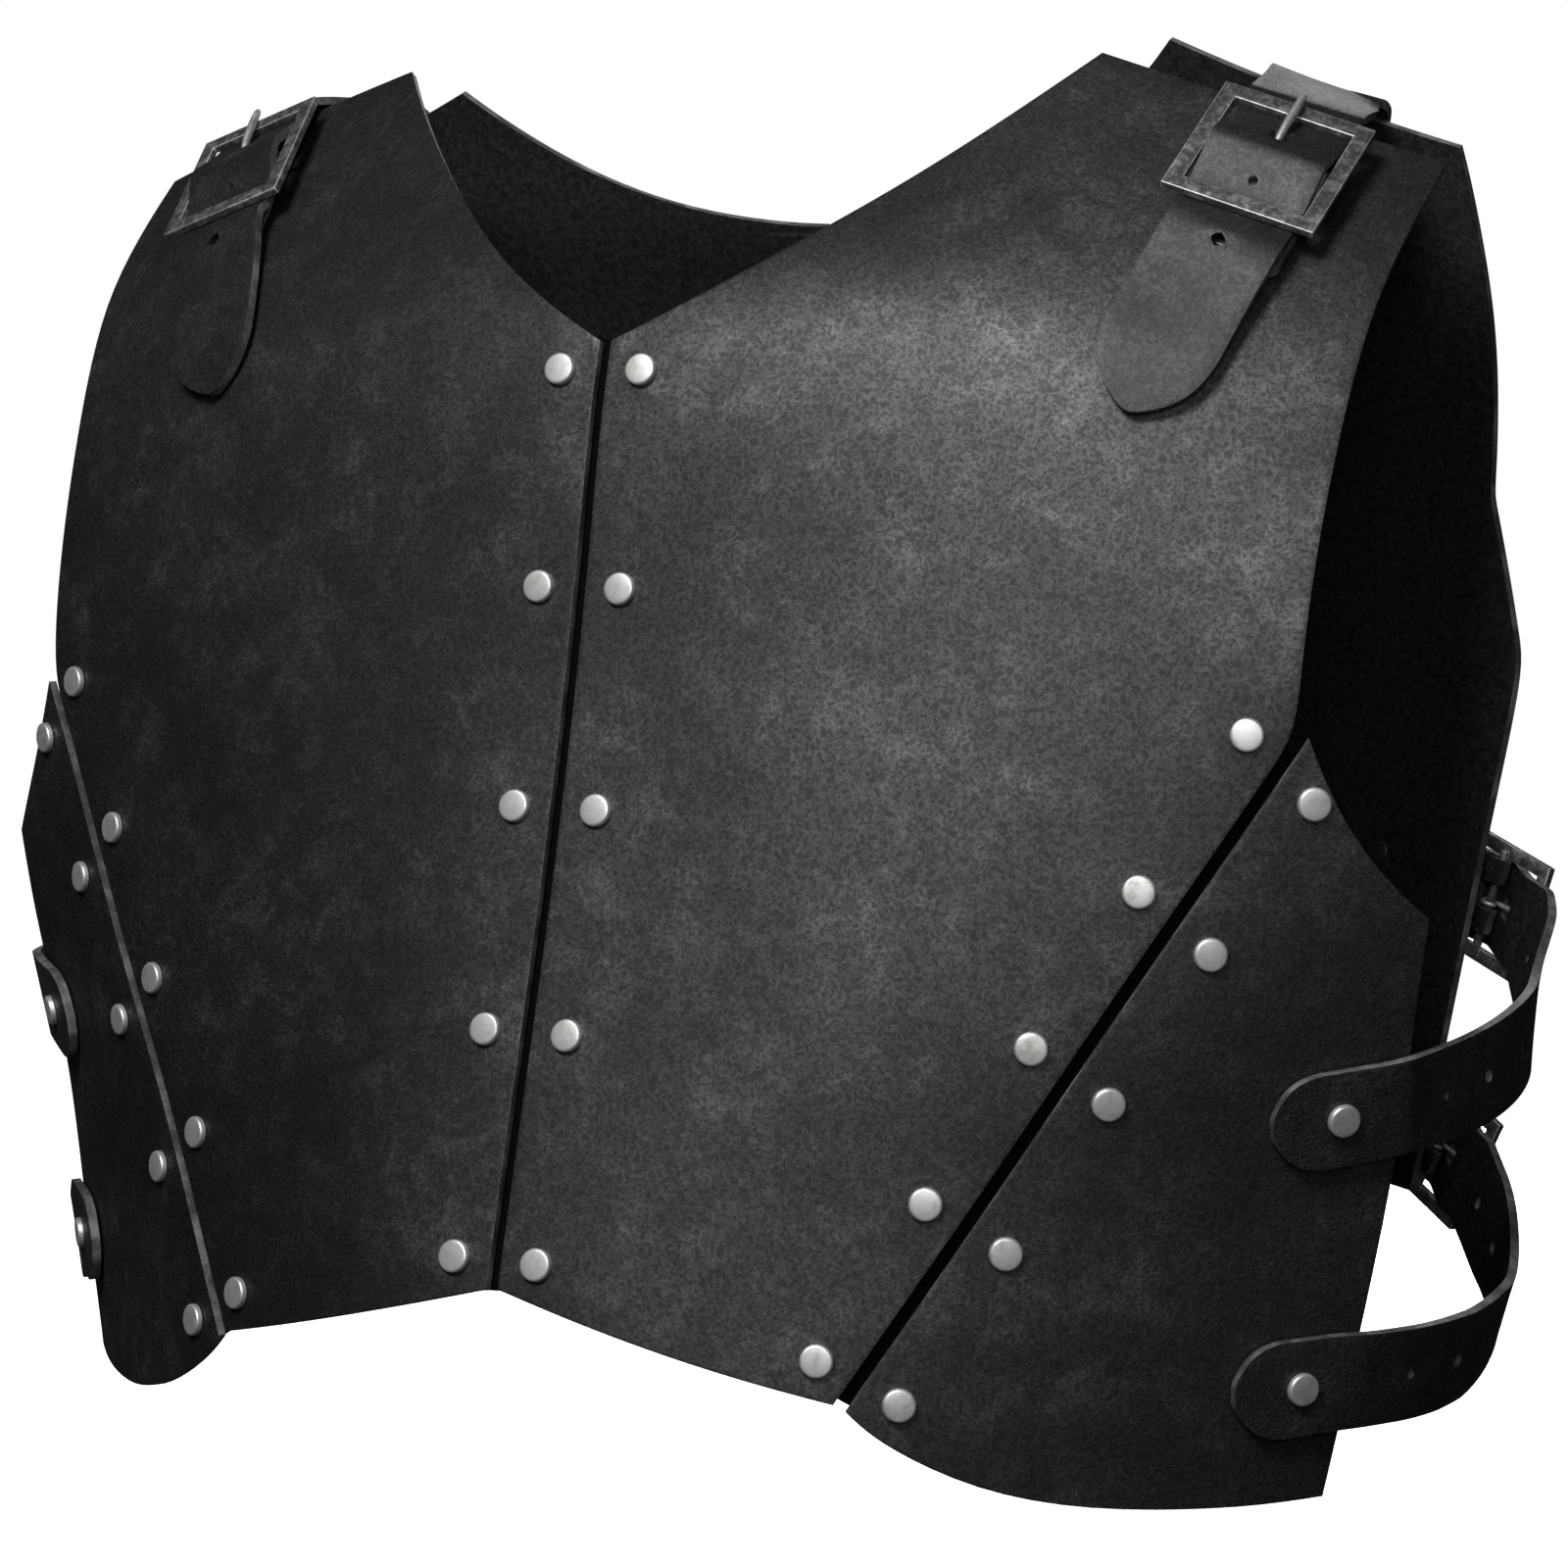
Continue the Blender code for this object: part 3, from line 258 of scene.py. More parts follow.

# %% [markdown]
# The back of the leather, its flesh side, is what shows inside the armour. It is dyed flat
# black and takes hardly any light, so it needs only a fine nap and no coat of wax. One function
# makes it in two depths of black: the darker one is painted shade for the strips behind the
# seams. The cut edges are burnished: rubbed with wax until they are smooth. Their pale grey is
# partly worn dye and partly a painted highlight, a thin line of light all round each panel.

# %% Flesh side and cut edge
def black_flesh(name, low, high):
    finish = Finish(name, Specular_IOR_Level=0.06)
    where = finish.place()
    nap = finish.noise(where, 520.0, 5.0, 0.7)
    colour = finish.mix(nap.ramp(0.35, 0.7), low, high)
    finish.bump(nap, 0.25 * MM, 0.5)
    return finish.shade(colour, 0.78 + 0.12 * nap)


# The rubbed grey is partly worn dye and partly a painted highlight along the edges.
EDGE_DYED, EDGE_RUBBED_AND_HIGHLIGHT = (0.03, 0.0305, 0.0315, 1), (0.26, 0.262, 0.258, 1)


def burnished_edge_and_highlight():
    finish = Finish("black_leather_edge", Specular_IOR_Level=0.35)
    where = finish.place()
    rub = finish.noise(where, 90.0, 5.0, 0.65)
    fibres = finish.noise(where, 900.0, 3.0, 0.6)
    # Painted highlight in part: the patches of pale grey make a thin light line along each edge.
    colour = finish.mix(rub.ramp(0.40, 0.68) * 0.7 + 0.3 * fibres, EDGE_DYED, EDGE_RUBBED_AND_HIGHLIGHT)
    finish.bump(fibres, 0.12 * MM, 0.4)
    return finish.shade(colour, 0.40 + 0.16 * rub)


BLACK_FLESH = black_flesh("black_leather_flesh",
                          (0.011, 0.0112, 0.0120, 1), (0.032, 0.0328, 0.0345, 1))
# The darker black is painted shade, for the strips deep behind the seams.
STRIP_PAINTED_SHADE = black_flesh("black_leather_strip_painted_shade",
                          (0.0010, 0.0010, 0.0011, 1), (0.0030, 0.0031, 0.0033, 1))
BLACK_EDGE = burnished_edge_and_highlight()

# %% [markdown]
# ## From solid to leather
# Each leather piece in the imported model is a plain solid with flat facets, which already has
# the right outline, holes and place. It could be modelled again from nothing, but then every
# outline and hole would have to be matched. Instead a copy is merged into one skin, its
# triangles are joined into quads, and a subdivision makes its curves smooth, while creases
# keep the cut edges crisp. A small bevel then rounds those edges, as a leather worker's
# edge tool does.

# %% Picking pieces, faces and edges
def pick(*pieces):
    bpy.ops.object.select_all(action="DESELECT")
    for piece in pieces:
        piece.select_set(True)
    bpy.context.view_layer.objects.active = pieces[0]


class Editing:
    """Edit mode on one piece: with Editing(piece, "EDGE"): ..."""

    def __init__(self, piece, kind="FACE"):
        self.piece, self.kind = piece, kind

    def __enter__(self):
        pick(self.piece)
        bpy.context.tool_settings.mesh_select_mode = [
            self.kind == kind for kind in ("VERT", "EDGE", "FACE")]
        bpy.ops.object.mode_set(mode="EDIT")

    def __exit__(self, *problem):
        bpy.ops.object.mode_set(mode="OBJECT")


def apply_modifier(piece, kind, **settings):
    pick(piece)
    modifier = piece.modifiers.new(kind.lower(), kind)
    for name, value in settings.items():
        setattr(modifier, name, value)
    bpy.ops.object.modifier_apply(modifier=modifier.name)


def select_points(piece, wanted):
    """Selects these points and the edges and faces that lie wholly between them."""
    mesh = piece.data
    for vertex in mesh.vertices:
        vertex.select = vertex.index in wanted
    for element in list(mesh.edges) + list(mesh.polygons):
        element.select = wanted.issuperset(element.vertices)


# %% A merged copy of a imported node
SHARP = radians(47)                 # a turn of the skin above this is an edge
SAME_POINT = 0.005 * MM
QUAD_FOLD, QUAD_SKEW = radians(38), radians(70)     # most that two triangles of a quad may differ


def merged_copy(node, name):
    piece = bpy.data.objects.new(name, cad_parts[node].data.copy())
    bpy.context.scene.collection.objects.link(piece)
    with Editing(piece):
        bpy.ops.mesh.customdata_custom_splitnormals_clear()
        bpy.ops.mesh.select_all(action="SELECT")
        bpy.ops.mesh.remove_doubles(threshold=SAME_POINT)
        bpy.ops.mesh.tris_convert_to_quads(face_threshold=QUAD_FOLD, shape_threshold=QUAD_SKEW)
    return piece


# %% [markdown]
# Leather shows three different surfaces, and each gets its own finish. Where the skin turns
# sharply it changes from one surface to the next, so the faces between sharp turns are
# gathered into islands: the two largest are the grain side and the flesh side, and all the
# others are cut edges and the walls of holes.

# %% Islands between sharp turns
def islands(bm):
    left, found = set(bm.faces), []
    while left:
        queue = [left.pop()]
        island = list(queue)
        while queue:
            face = queue.pop()
            for edge in face.edges:
                if len(edge.link_faces) != 2 or edge.calc_face_angle(0) > SHARP:
                    continue
                for other in edge.link_faces:
                    if other in left:
                        left.remove(other)
                        island.append(other)
                        queue.append(other)
        found.append(island)
    return sorted(found, key=lambda island: -sum(face.calc_area() for face in island))


BODY_MIDDLE_Y = -40 * MM            # the upright line in the middle of the wearer's body


def away_from_body(point):
    return Vector((point.x, point.y - BODY_MIDDLE_Y, 0))


def faces_out(island):
    """How much an island of faces looks away from the middle of the armour."""
    total = 0.0
    for face in island:
        away = away_from_body(face.calc_center_median()).normalized()
        total += face.calc_area() * face.normal.dot(away)
    return total


GRAIN, FLESH, CUT = range(3)


def sort_surfaces(piece):
    """Gives each face its material slot. Returns how many islands there are."""
    bm = bmesh.new()
    bm.from_mesh(piece.data)
    bm.normal_update()
    found = islands(bm)
    skin = sorted(found[:2], key=faces_out, reverse=True)
    slots = [(skin[0], GRAIN), (skin[1], FLESH)] + [(rim, CUT) for rim in found[2:]]
    for island, slot in slots:
        for face in island:
            face.material_index = slot
    bm.to_mesh(piece.data)
    bm.free()
    return len(found)


# %% [markdown]
# The slots of the solids were cut wide, to clear the prongs that pass through them. In real
# leather they close up round the metal. They could be cut narrower in the solids, but those
# need the room, so here the walls of each slot are drawn together towards its middle, without
# changing the leather's thickness. The round holes already have their right size.

# %% Slots drawn together
ROUND_HOLE = 3 * MM         # a round hole reaches less than this from its middle
SLOT_REACH = 9 * MM         # and a slot less than this, which leaves out the strap's outline


def narrow_slots(piece, share):
    """Moves the walls of each slot in, to this share of their distance from its middle."""
    bm = bmesh.new()
    bm.from_mesh(piece.data)
    bm.normal_update()
    walls = {face for face in bm.faces if face.material_index == CUT}
    while walls:
        queue = [walls.pop()]
        wall = list(queue)
        while queue:
            for other in {f for edge in queue.pop().edges for f in edge.link_faces} & walls:
                walls.remove(other)
                wall.append(other)
                queue.append(other)
        # Sums are rounded, so the points are put in order, or each run would differ a little.
        points = sorted({vertex for face in wall for vertex in face.verts},
                        key=lambda vertex: vertex.index)
        middle = sum((vertex.co for vertex in points), Vector()) / len(points)
        reach = max((vertex.co - middle).length for vertex in points)
        if not ROUND_HOLE < reach < SLOT_REACH:
            continue
        up = sum((face.normal for vertex in points for face in vertex.link_faces
                  if face.material_index == GRAIN), Vector()).normalized()
        for vertex in points:
            away = vertex.co - middle
            vertex.co -= (away - up * away.dot(up)) * (1 - share)
    bm.to_mesh(piece.data)
    bm.free()


# %% Smooth curves and rounded edges
SMOOTHING_LEVELS = 2
SHADED_SMOOTH = radians(40)         # a turn of the surface below this is shaded as a curve


def smooth_leather(piece, looks, rounding, slot_share=1.0):
    piece.data.materials.clear()
    for look in looks:
        piece.data.materials.append(look)
    parts = sort_surfaces(piece)
    narrow_slots(piece, slot_share)
    with Editing(piece, "EDGE"):
        bpy.ops.mesh.select_all(action="DESELECT")
        bpy.ops.mesh.edges_select_sharp(sharpness=SHARP)
        bpy.ops.transform.edge_crease(value=1.0)
    apply_modifier(piece, "SUBSURF", levels=SMOOTHING_LEVELS, render_levels=SMOOTHING_LEVELS)
    # The rounded faces of the bevel take the edge finish, with its painted highlight.
    apply_modifier(piece, "BEVEL", width=rounding, segments=3, limit_method="ANGLE",
                   angle_limit=SHARP, material=CUT)
    pick(piece)
    bpy.ops.object.shade_smooth_by_angle(angle=SHADED_SMOOTH)
    measure_edges(piece)
    print(f"{piece.name}: {parts} surfaces, {len(piece.data.polygons)} faces")
    return piece


def measure_edges(piece):
    """Stores on each point its distance to the nearest cut edge, in millimetres."""
    mesh = piece.data
    cut = sorted({index for face in mesh.polygons if face.material_index == CUT
                  for index in face.vertices})
    tree = kdtree.KDTree(len(cut))
    for index in cut:
        tree.insert(mesh.vertices[index].co, index)
    tree.balance()
    attribute = mesh.attributes.new("edge_mm", "FLOAT", "POINT")
    attribute.data.foreach_set("value", [tree.find(v.co)[2] / MM for v in mesh.vertices])


def finish_piece(piece, slot, *nodes):
    """The armour is one body, so each piece rides on its root and stands for its nodes."""
    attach(piece, "root")
    if nodes:
        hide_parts(*nodes)
    return piece


# %% [markdown]
# ## The panels
# Six panels make the two plates: two on the chest, two at the sides of the waist and two on
# the back. Their leather is 2.4 mm thick, so the edges are rounded by half a millimetre. All
# six go through the same steps, so that edges and grain match where two panels meet.

# %% Chest, side and back panels
BLACK_LEATHER = (BLACK_GRAIN, BLACK_FLESH, BLACK_EDGE)
PANEL_ROUNDING = 0.5 * MM
for side in SIDES:
    for panel in ("chest_panel", "side_panel", "back_panel"):
        node = f"{panel}_{side}"
        leather = merged_copy(node, node + "_leather")
        finish_piece(smooth_leather(leather, BLACK_LEATHER, PANEL_ROUNDING), "black_leather", node)

# %% [markdown]
# ## Finding the rivets
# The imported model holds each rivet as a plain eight-sided stud. Some are separate nodes, and
# those along the seams are in one solid with the strip behind the seam. A stud's two ends are
# its only flat eight-sided faces, so they tell where the rivet is and which way it points.

# %% The flat ends of the studs
STUD_SIDES = 8
STUD_END_AREA = (13 * MM * MM, 22 * MM * MM)
NEARLY_FLAT = radians(4)            # faces of an end turn less than this from each other
NOT_THIS_END = 1000                 # metres, added for an end that faces the same way


def stud_ends(node):
    scratch = merged_copy(node, "scratch")
    with Editing(scratch):
        bpy.ops.mesh.select_all(action="SELECT")
        bpy.ops.mesh.dissolve_limited(angle_limit=NEARLY_FLAT)
    least, most = STUD_END_AREA
    ends = [(face.center.copy(), face.normal.copy()) for face in scratch.data.polygons
            if len(face.vertices) == STUD_SIDES and least < face.area < most]
    bpy.data.objects.remove(scratch)
    return ends


def find_rivets(node):
    """Each rivet as its outer end, the direction it points out, and its length."""
    found = []
    ends = stud_ends(node)
    for at, normal in ends:
        if normal.dot(away_from_body(at)) < 0:
            continue
        inner, _ = min(ends, key=lambda end: (end[0] - at).cross(normal).length
                       + NOT_THIS_END * (end[1].dot(normal) > 0))
        found.append((at, (at - inner).normalized(), (at - inner).length))
    lengths = [round(length / MM, 1) for _, _, length in found]
    print(node, "has", len(found), "rivets,", lengths[:3], "mm long")
    return found


RIVETED = ["front_centre_strip", "back_centre_strip", "seam_strip_left", "seam_strip_right"]
STRAPS = ("shoulder", "upper_side", "lower_side")
RIVET_NODES = [f"{strap}_{kind}_rivet_{side}" for strap in STRAPS
               for kind in ("strap", "tab") for side in SIDES]
rivets = {node: find_rivets(node) for node in RIVETED + RIVET_NODES}

# %% [markdown]
# ## The rivets
# Each rivet is a low nickel cap on a short post, with a flatter cap inside the armour. It
# could be turned from a profile, but a hammered cap is mostly flat. So it is modelled once,
# upright at the origin: a short cylinder whose top edge is rounded by a bevel of almost half
# its height, and whose middle is raised a little by three insets, because such a cap is never
# quite flat. Copies are then turned and moved onto the studs that were just found.

# %% One rivet
CAP_RADIUS, CAP_HEIGHT, CAP_CROWN = 4.5 * MM, 1.75 * MM, 0.14 * MM
INNER_RADIUS, INNER_HEIGHT, INNER_CROWN = 3.45 * MM, 0.95 * MM, -0.12 * MM
POST_RADIUS, POST_END = 1.4 * MM, -8 * MM
ROUNDED_SHARE = 0.45                # of a cap's height
INSET_SHARE = 0.2                   # of a cap's radius, for each of three insets
SUNK = 0.26 * MM                    # the cap sits this much lower than the stud's flat end


def add_cylinder(radius, top, bottom, vertices=32):
    bpy.ops.object.select_all(action="DESELECT")
    bpy.ops.mesh.primitive_cylinder_add(vertices=vertices, radius=radius, depth=top - bottom,
                                        location=(0, 0, (top + bottom) / 2))
    made = bpy.context.object
    made.data.transform(made.matrix_world)
    made.matrix_world = Matrix()
    return made


SAME_LEVEL = 0.001 * MM


def select_end(piece, top):
    """Selects the faces at a piece's highest or lowest end."""
    heights = [face.center.z for face in piece.data.polygons]
    level = max(heights) if top else min(heights)
    select_points(piece, {vertex.index for vertex in piece.data.vertices
                          if abs(vertex.co.z - level) < SAME_LEVEL})


def round_cap(radius, height, top, bottom, crown, name):
    """A disc with one rounded end that is raised in the middle. A crown below zero is for
    the lower end."""
    cap = add_cylinder(radius, top, bottom)
    select_end(cap, crown > 0)
    with Editing(cap):
        bpy.ops.mesh.bevel(offset=height * ROUNDED_SHARE, segments=5, profile=0.5)
    select_end(cap, crown > 0)
    with Editing(cap):
        for rise in (0.50, 0.35, 0.20):
            bpy.ops.mesh.inset(thickness=radius * INSET_SHARE)
            bpy.ops.transform.translate(value=(0, 0, crown * rise))
    cap.name = name
    return cap


def model_rivet():
    cap = round_cap(CAP_RADIUS, CAP_HEIGHT, 0, -CAP_HEIGHT, CAP_CROWN, "rivet")
    post = add_cylinder(POST_RADIUS, -CAP_HEIGHT, POST_END, 16)
    inner = round_cap(INNER_RADIUS, INNER_HEIGHT, POST_END + INNER_HEIGHT, POST_END,
                      INNER_CROWN, "inner_cap")
    pick(cap, post, inner)
    bpy.ops.object.join()
    cap.data.transform(Matrix.Translation((0, 0, -SUNK)))
    bpy.ops.object.shade_smooth_by_angle(angle=radians(35))
    return cap


# %% [markdown]
# The caps are plated with nickel, which is pale where it is rubbed and duller in patches where
# it has tarnished. A stretched noise gives the rubbing a direction. The rivets of the tabs sit
# under the straps, in their shade, so they get a dark copy of the same finish: painted shade,
# which makes them look nearly black.

# %% Nickel
def brushed_nickel(name, bright, tarnished):
    finish = Finish(name, Metallic=0.75)
    where = finish.place()
    rub = finish.noise(finish.stretched(where, (1, 1, 0.35), (0.5, 0.3, 0)), 900.0, 4.0, 0.6)
    tarnish = finish.noise(where, 210.0, 4.0, 0.6, 0.4).ramp(0.42, 0.72)
    colour = finish.mix(tarnish, bright, tarnished)
    finish.bump(rub + 0.6 * tarnish, 0.05 * MM, 0.5)
    return finish.shade(colour, 0.36 + 0.12 * tarnish + 0.10 * rub)


NICKEL = brushed_nickel("nickel_metal", (0.95, 0.94, 0.90, 1), (0.58, 0.57, 0.53, 1))
# A dark copy of the nickel, as painted shade, for the tab rivets under the straps.
NICKEL_PAINTED_SHADE = brushed_nickel("nickel_metal_painted_shade", (0.10, 0.10, 0.095, 1), (0.05, 0.05, 0.048, 1))

# %% Copies of the rivet on every stud
RIVET = model_rivet()
RIVET_LENGTH = 8.26 * MM            # from the stud's end to the inner cap's
STANDS_OUT = 0.05 * MM
TURN_EACH = 67                      # degrees, so that no two neighbours look the same


def set_rivet(name, at, out, length, number, look):
    """A copy on a stud: its post gets the stud's length, and each is turned differently."""
    piece = bpy.data.objects.new(name, RIVET.data.copy())
    bpy.context.scene.collection.objects.link(piece)
    for vertex in piece.data.vertices:
        if vertex.co.z < -RIVET_LENGTH / 2:
            vertex.co.z -= length - RIVET_LENGTH
    upright = out.to_track_quat("Z", "Y").to_matrix().to_4x4()
    turn = upright @ Matrix.Rotation(radians(TURN_EACH * number), 4, "Z")
    piece.data.transform(Matrix.Translation(at + out * STANDS_OUT) @ turn)
    piece.data.materials.append(look)
    return piece


for node, found in rivets.items():
    alone = node in RIVET_NODES
    # Tab rivets, which lie under the straps, take the painted shade.
    look = NICKEL_PAINTED_SHADE if "_tab_" in node else NICKEL
    for number, (at, out, length) in enumerate(sorted(found, key=lambda rivet: -rivet[0].z)):
        name = node + "_dome" if alone else f"{node.replace('strip', 'rivet')}_{number + 1}"
        piece = set_rivet(name, at, out, length, number, look)
        finish_piece(piece, "brushed_nickel", *([node] if alone else []))
bpy.data.objects.remove(RIVET)
print(sum(len(found) for found in rivets.values()), "rivets set")

# %% [markdown]
# ## The strips behind the seams
# Each seam is a gap of a few millimetres between two panels, and a strip of the same leather
# lies behind it. A strip could be modelled anew, but the imported one already follows the plates.
# So the studs are cut off a copy of it, and the eight-sided openings that they leave are
# closed. The strips at the front get the deepest black all round, which is painted shade,
# because hardly any light reaches them through the gap. The one at the back keeps the black
# of the flesh side, which shows inside the neck.

# %% Strips without their studs
STUD_REACH = 4.7 * MM
STRIP_FRONT, STRIP_BACK = 5.0 * MM, 7.55 * MM       # from a stud's outer end to the strip's sides
STRIP_ROUNDING = 0.4 * MM


def bare_strip(node):
    strip = merged_copy(node, node + "_leather")
    doomed = set()
    for at, out, _ in rivets[node]:
        for vertex in strip.data.vertices:
            depth = (at - vertex.co).dot(out)
            beside = (vertex.co - at).cross(out).length
            if beside < STUD_REACH and not STRIP_FRONT < depth < STRIP_BACK:
                doomed.add(vertex.index)
    select_points(strip, doomed)
    with Editing(strip, "VERT"):
        bpy.ops.mesh.delete(type="VERT")
        bpy.ops.mesh.select_all(action="SELECT")
        bpy.ops.mesh.fill_holes(sides=STUD_SIDES)
        bpy.ops.mesh.normals_make_consistent(inside=False)
    return strip


for node in RIVETED:
    # The front strips take the painted shade; the back one, seen inside the neck, the flesh side's
    # black.
    look = BLACK_FLESH if node == "back_centre_strip" else STRIP_PAINTED_SHADE
    strip = smooth_leather(bare_strip(node), (look,) * 3, STRIP_ROUNDING)
    finish_piece(strip, "black_leather", node)

# %% [markdown]
# ## The straps
# The straps are smoother and denser than the panels, with the same cloudy finish worn down by
# handling. Where a strap bends over a buckle's bar, a pale painted highlight is laid into its
# colour, and its coat of wax shines more there. Such a place could be painted by hand, but it
# would have to be found again on every strap. Instead it is marked on the strap's points by how
# sharply they bend.

# %% Strap leather
STRAP_BLACK = (0.0028, 0.0030, 0.0033, 1)
STRAP_SCUFFED = (0.085, 0.087, 0.089, 1)
# The pale grey of the painted highlight where a strap bends over a buckle's bar.
STRAP_PAINTED_HIGHLIGHT = (0.26, 0.262, 0.255, 1)


def strap_leather():
    finish = Finish("strap_leather_grain", Specular_IOR_Level=0.10, Coat_Roughness=0.50,
                    Coat_IOR=1.95)
    where = finish.place()
    grain = leather_grain(finish, where, 440.0)
    clouds = finish.noise(where, 60.0, 6.0, 0.68, 0.4).ramp(0.40, 0.66)
    flecks = finish.noise(where, 520.0, 5.0, 0.75).ramp(0.50, 0.68)
    bend = finish.attribute("bend")
    edge = 1 - finish.attribute("edge_mm").ramp(0.3, 1.5)
    tone = 0.04 + (0.10 + 0.20 * clouds) * grain + 0.12 * clouds * flecks + 0.25 * edge * flecks
    black = finish.mix(tone, STRAP_BLACK, STRAP_SCUFFED)
    # Painted highlight: the colour turns pale grey where the strap bends over the buckle's bar.
    colour = finish.mix(bend * (0.35 + 0.65 * clouds), black, STRAP_PAINTED_HIGHLIGHT)
    sheen(finish, 0.26 + (0.30 + 0.22 * clouds) * grain + 0.3 * bend)
    finish.bump(grain, 0.8 * MM, 1.0)
    return finish.shade(colour, 0.66 - 0.10 * grain)


STRAP_LEATHER = (strap_leather(), BLACK_FLESH, BLACK_EDGE)


# %% Where a strap bends
EVEN_OUT = 8                        # rounds of averaging with the neighbouring points
HIGHLIGHT_REACH = (14 * MM, 24 * MM)       # from the buckle's middle: full painted highlight, and none
BEND_NO_HIGHLIGHT, BEND_FULL_HIGHLIGHT = 45, 135    # radians a metre: no painted highlight yet, and full
SHORTEST_EDGE = 0.5 * MM            # a shorter edge counts as this long


def limited(share):
    return min(1.0, max(0.0, share))


def measure_bend_highlight(piece, buckle):
    """Stores on each point how sharply the grain side bends there, from 0 to 1, as the mask of a
    painted highlight. Only the bend in the buckle counts, where the strap goes over the bar."""
    corners = [vertex.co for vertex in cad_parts[buckle].data.vertices]
    middle = sum(corners, Vector()) / len(corners)
    bm = bmesh.new()
    bm.from_mesh(piece.data)
    bm.normal_update()
    bends = {}
    for vertex in bm.verts:
        turns = [edge.calc_face_angle(0) / max(edge.calc_length(), SHORTEST_EDGE)
                 for edge in vertex.link_edges
                 if all(face.material_index == GRAIN for face in edge.link_faces)]
        bends[vertex.index] = max(turns, default=0)
    for _ in range(EVEN_OUT):
        evened = {}
        for vertex in bm.verts:
            near_by = sum(bends[edge.other_vert(vertex).index] for edge in vertex.link_edges)
            evened[vertex.index] = (bends[vertex.index] + near_by) / (1 + len(vertex.link_edges))
        bends = evened
    bm.free()
    near, far = HIGHLIGHT_REACH
    # Nearness to the buckle and sharpness of the bend make the mask of the painted highlight.
    highlight_share = []
    for vertex in piece.data.vertices:
        near_buckle = (far - (vertex.co - middle).length) / (far - near)
        bent = (bends[vertex.index] - BEND_NO_HIGHLIGHT) / (BEND_FULL_HIGHLIGHT - BEND_NO_HIGHLIGHT)
        highlight_share.append(limited(near_buckle) * limited(bent))
    attribute = piece.data.attributes.new("bend", "FLOAT", "POINT")
    attribute.data.foreach_set("value", highlight_share)
    print(piece.name, "sharpest bend", round(max(bends.values())), "radians a metre")


# %% [markdown]
# Each fastening has a strap and a tab, the short folded loop that holds the buckle. The tab's
# leather is thinner, so its edges are rounded less, and its slot keeps its width.

# %% Straps and tabs
STRAP_PARTS = (("strap", 0.7 * MM, 0.7), ("tab", 0.3 * MM, 1.0))     # rounding, share of the slot
for side in SIDES:
    for strap in STRAPS:
        for kind, rounding, slot_share in STRAP_PARTS:
            node = f"{strap}_{kind}_{side}"
            piece = merged_copy(node, node + "_leather")
            smooth_leather(piece, STRAP_LEATHER, rounding, slot_share)
            measure_bend_highlight(piece, f"{strap}_buckle_{side}")
            finish_piece(piece, "strap_leather", node)

# %% [markdown]
# ## The buckles
# The buckles are flat square frames of white metal with an antique finish: a dark patina
# lies in mottled patches over the faces, and handling has worn every edge bright. The worn
# edges could be found by the shader, but a bevel already has to round them, and its faces can
# be given a material of their own. So there are two finishes, patina and worn metal. The
# prongs are worn all over.

# %% Old silver
def old_silver(name, low, high, bare):
    """bare is how much of the patina is gone, from 0 to 1."""
    finish = Finish(name, Metallic=0.8)
    where = finish.place()
    patches = finish.noise(where, 230.0, 6.0, 0.72, 0.5)
    specks = finish.noise(where, 800.0, 4.0, 0.65)
    bright = patches.ramp(0.44, 0.68) * 0.7 + 0.3 * specks.ramp(0.45, 0.7) + bare
    colour = finish.mix(bright, low, high)
    finish.bump(patches + 0.6 * specks, 0.10 * MM, 0.6)
    return finish.shade(colour, 0.50 - 0.12 * bare + 0.10 * specks)


PATINA = old_silver("silver_patina", (0.12, 0.12, 0.112, 1), (0.58, 0.58, 0.55, 1), 0.0)
WORN = old_silver("silver_worn", (0.34, 0.34, 0.33, 1), (0.92, 0.91, 0.88, 1), 0.35)


# %% Frames and prongs
METAL_EDGE = radians(50)            # a turn above this is rounded, and one below it shaded smooth
COPLANAR = radians(2)
FRAME_ROUNDING = 0.38 * MM
PRONG_LEVELS = 2


def metal_piece(node, name, rounding=0, levels=0):
    """Rounded edges get the second slot, the worn silver. A piece with none is worn all over."""
    piece = merged_copy(node, name)
    piece.data.materials.clear()
    for look in (PATINA, WORN) if rounding else (WORN,):
        piece.data.materials.append(look)
    for face in piece.data.polygons:
        face.material_index = 0
    with Editing(piece):
        bpy.ops.mesh.select_all(action="SELECT")
        bpy.ops.mesh.dissolve_limited(angle_limit=COPLANAR)
    if levels:
        apply_modifier(piece, "SUBSURF", levels=levels, render_levels=levels)
    if rounding:
        apply_modifier(piece, "BEVEL", width=rounding, segments=3, limit_method="ANGLE",
                       angle_limit=METAL_EDGE, material=1)
    pick(piece)
    bpy.ops.object.shade_smooth_by_angle(angle=METAL_EDGE)
    print(f"{piece.name}: {len(piece.data.polygons)} faces")
    return piece


for side in SIDES:
    for strap in STRAPS:
        node = f"{strap}_buckle_{side}"
        square = metal_piece(node, node + "_frame", rounding=FRAME_ROUNDING)
        finish_piece(square, "old_silver", node)
        node = f"{strap}_prong_{side}"
        finish_piece(metal_piece(node, node + "_pin", levels=PRONG_LEVELS), "old_silver", node)

# %% [markdown]
# ## Light and floor
# The armour is lit as in a small studio. One large soft light hangs in front and above, where
# it puts a broad sheen on the wearer's left breast and leaves the flanks dark. A weak one
# stands beside the camera for the seams and rivets. Behind the armour, a low light shows the
# back plate, and a weak one above it draws a rim along the shoulders. The floor is plain and
# pale. It glows by itself and is seen, but throws no light, so that it stays white without
# filling the shadows.

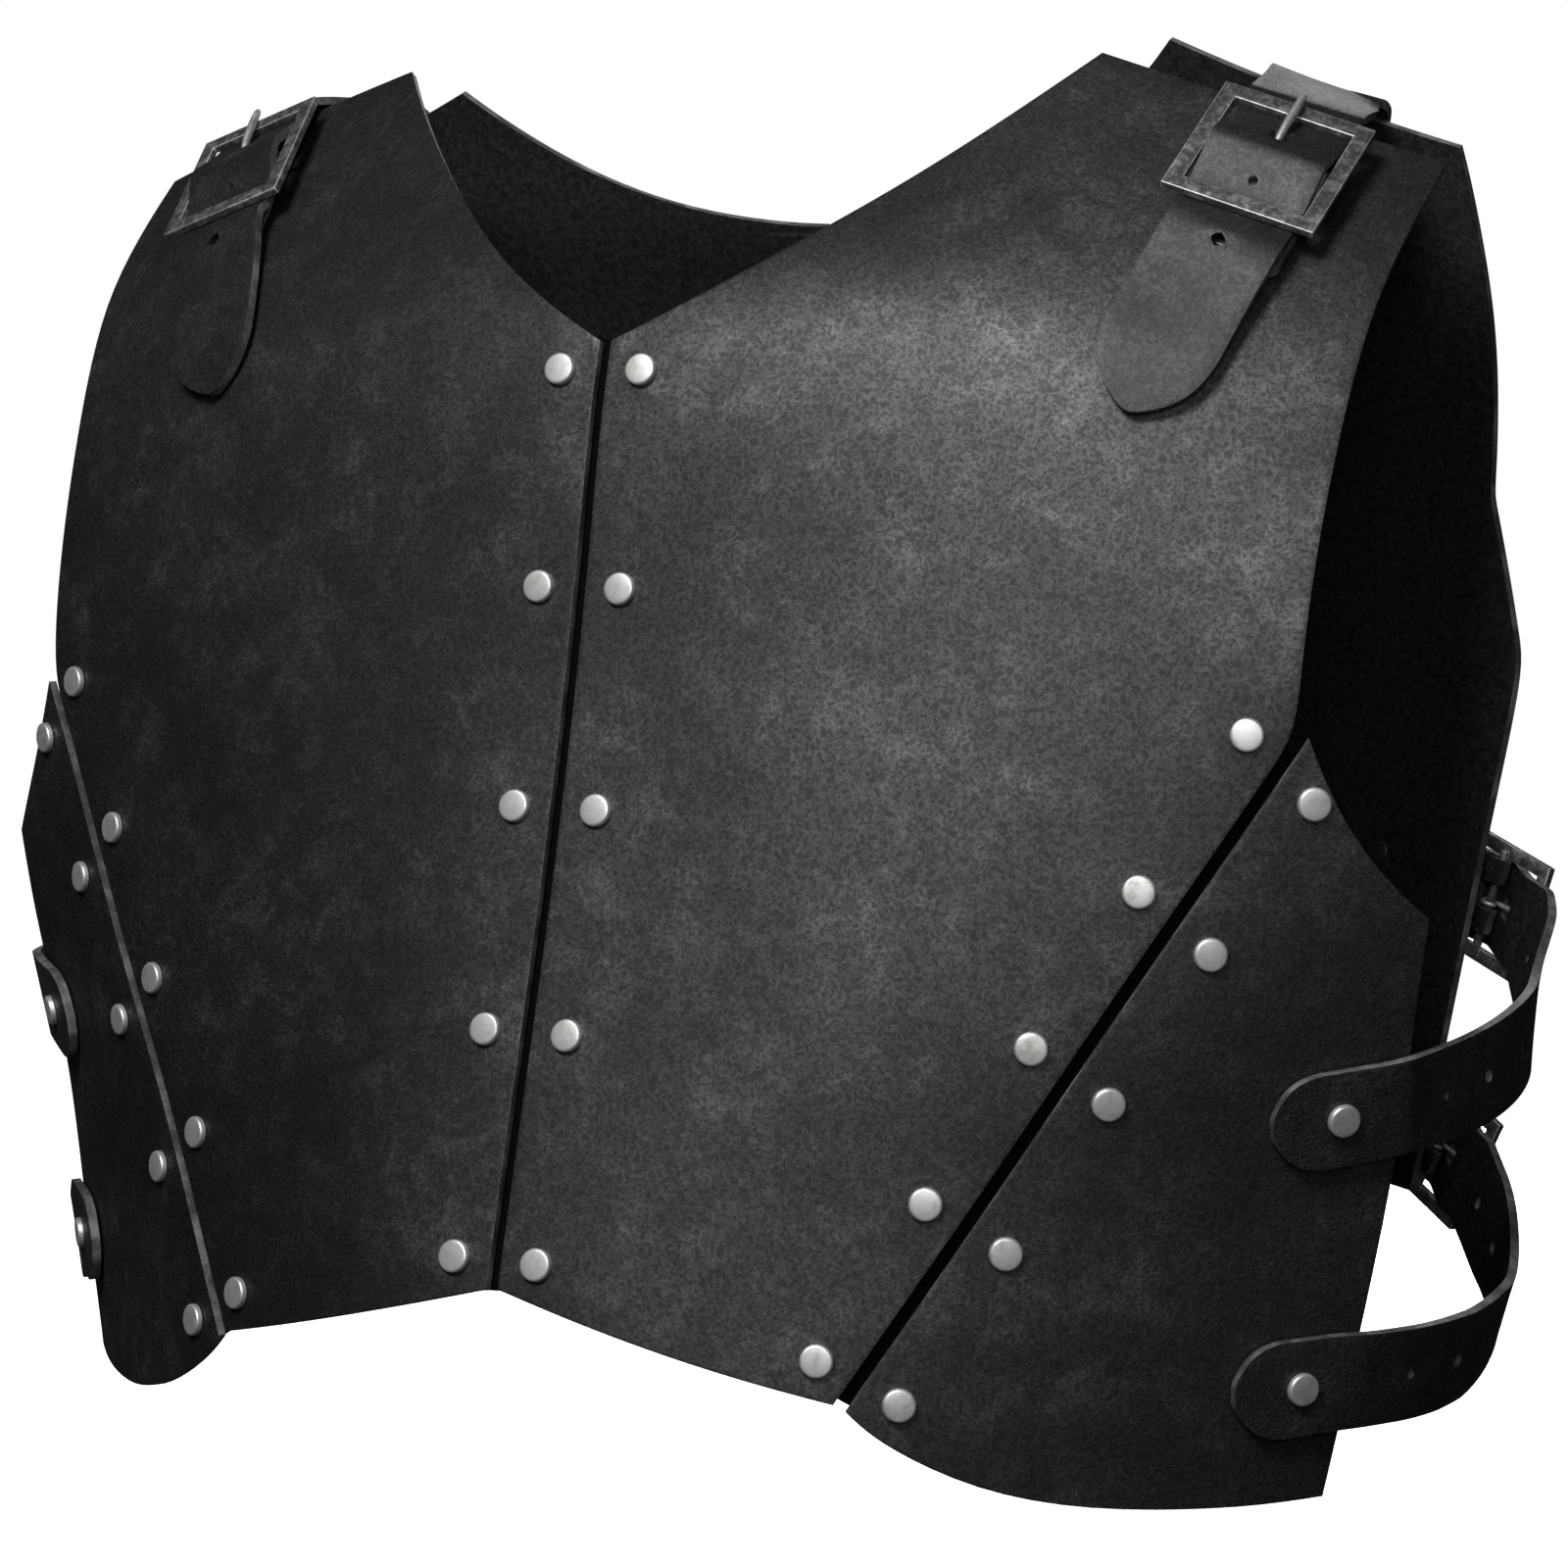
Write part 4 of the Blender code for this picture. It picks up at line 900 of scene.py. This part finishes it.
# %% Studio
LAMP_SIZE = 0.6
COOL_WHITE = (0.965, 0.985, 1.0)


def soft_light(name, place, aim, watts):
    lamp = bpy.data.lights.new(name, "AREA")
    lamp.shape, lamp.size, lamp.energy = "DISK", LAMP_SIZE, watts
    lamp.color = COOL_WHITE
    light = bpy.data.objects.new(name, lamp)
    light.location = place
    light.rotation_euler = (Vector(aim) - Vector(place)).to_track_quat("-Z", "Y").to_euler()
    bpy.context.scene.collection.objects.link(light)
    print(name, "light of", watts, "W")


def white_room(strength):
    """An even white surrounding, which looks pure white behind the armour."""
    room = bpy.data.worlds.new("room")
    room.use_nodes = True
    nodes, links = room.node_tree.nodes, room.node_tree.links
    path = nodes.new("ShaderNodeLightPath")
    level = nodes.new("ShaderNodeMix")
    level.inputs["A"].default_value, level.inputs["B"].default_value = strength, 1.0
    links.new(path.outputs["Is Camera Ray"], level.inputs["Factor"])
    nodes["Background"].inputs["Color"].default_value = (1, 1, 1, 1)
    links.new(level.outputs["Result"], nodes["Background"].inputs["Strength"])
    bpy.context.scene.world = room


def pale_floor(drop):
    """A plane that lies this far under the armour, which hangs as if on a wearer."""
    bpy.ops.object.select_all(action="DESELECT")
    bpy.ops.mesh.primitive_plane_add(size=14, location=(0, 0, cad_box[0][2] - drop))
    floor = bpy.context.object
    floor.name = "floor"
    floor.visible_diffuse = floor.visible_glossy = False
    pale = Finish("pale_floor", Specular_IOR_Level=0.1, Emission_Strength=0.98)
    pale.feed(pale.shader.inputs["Emission Color"], (1, 1, 1, 1))
    floor.data.materials.append(pale.shade((0.9, 0.9, 0.9, 1), 0.9))


soft_light("key", (0.04, -1.33, 1.04), (0.08, -0.1, -0.15), watts=23)
soft_light("side", (0.75, -1.35, 0.28), (0.08, -0.1, -0.20), watts=4)
soft_light("rim", (-0.25, 1.50, 0.75), (0.1, 0, 0), watts=4)
soft_light("behind", (-0.35, 1.60, -0.30), (0, 0, -0.20), watts=20)
white_room(strength=0.02)
pale_floor(drop=0.22)
bpy.context.scene.view_settings.view_transform = "Standard"
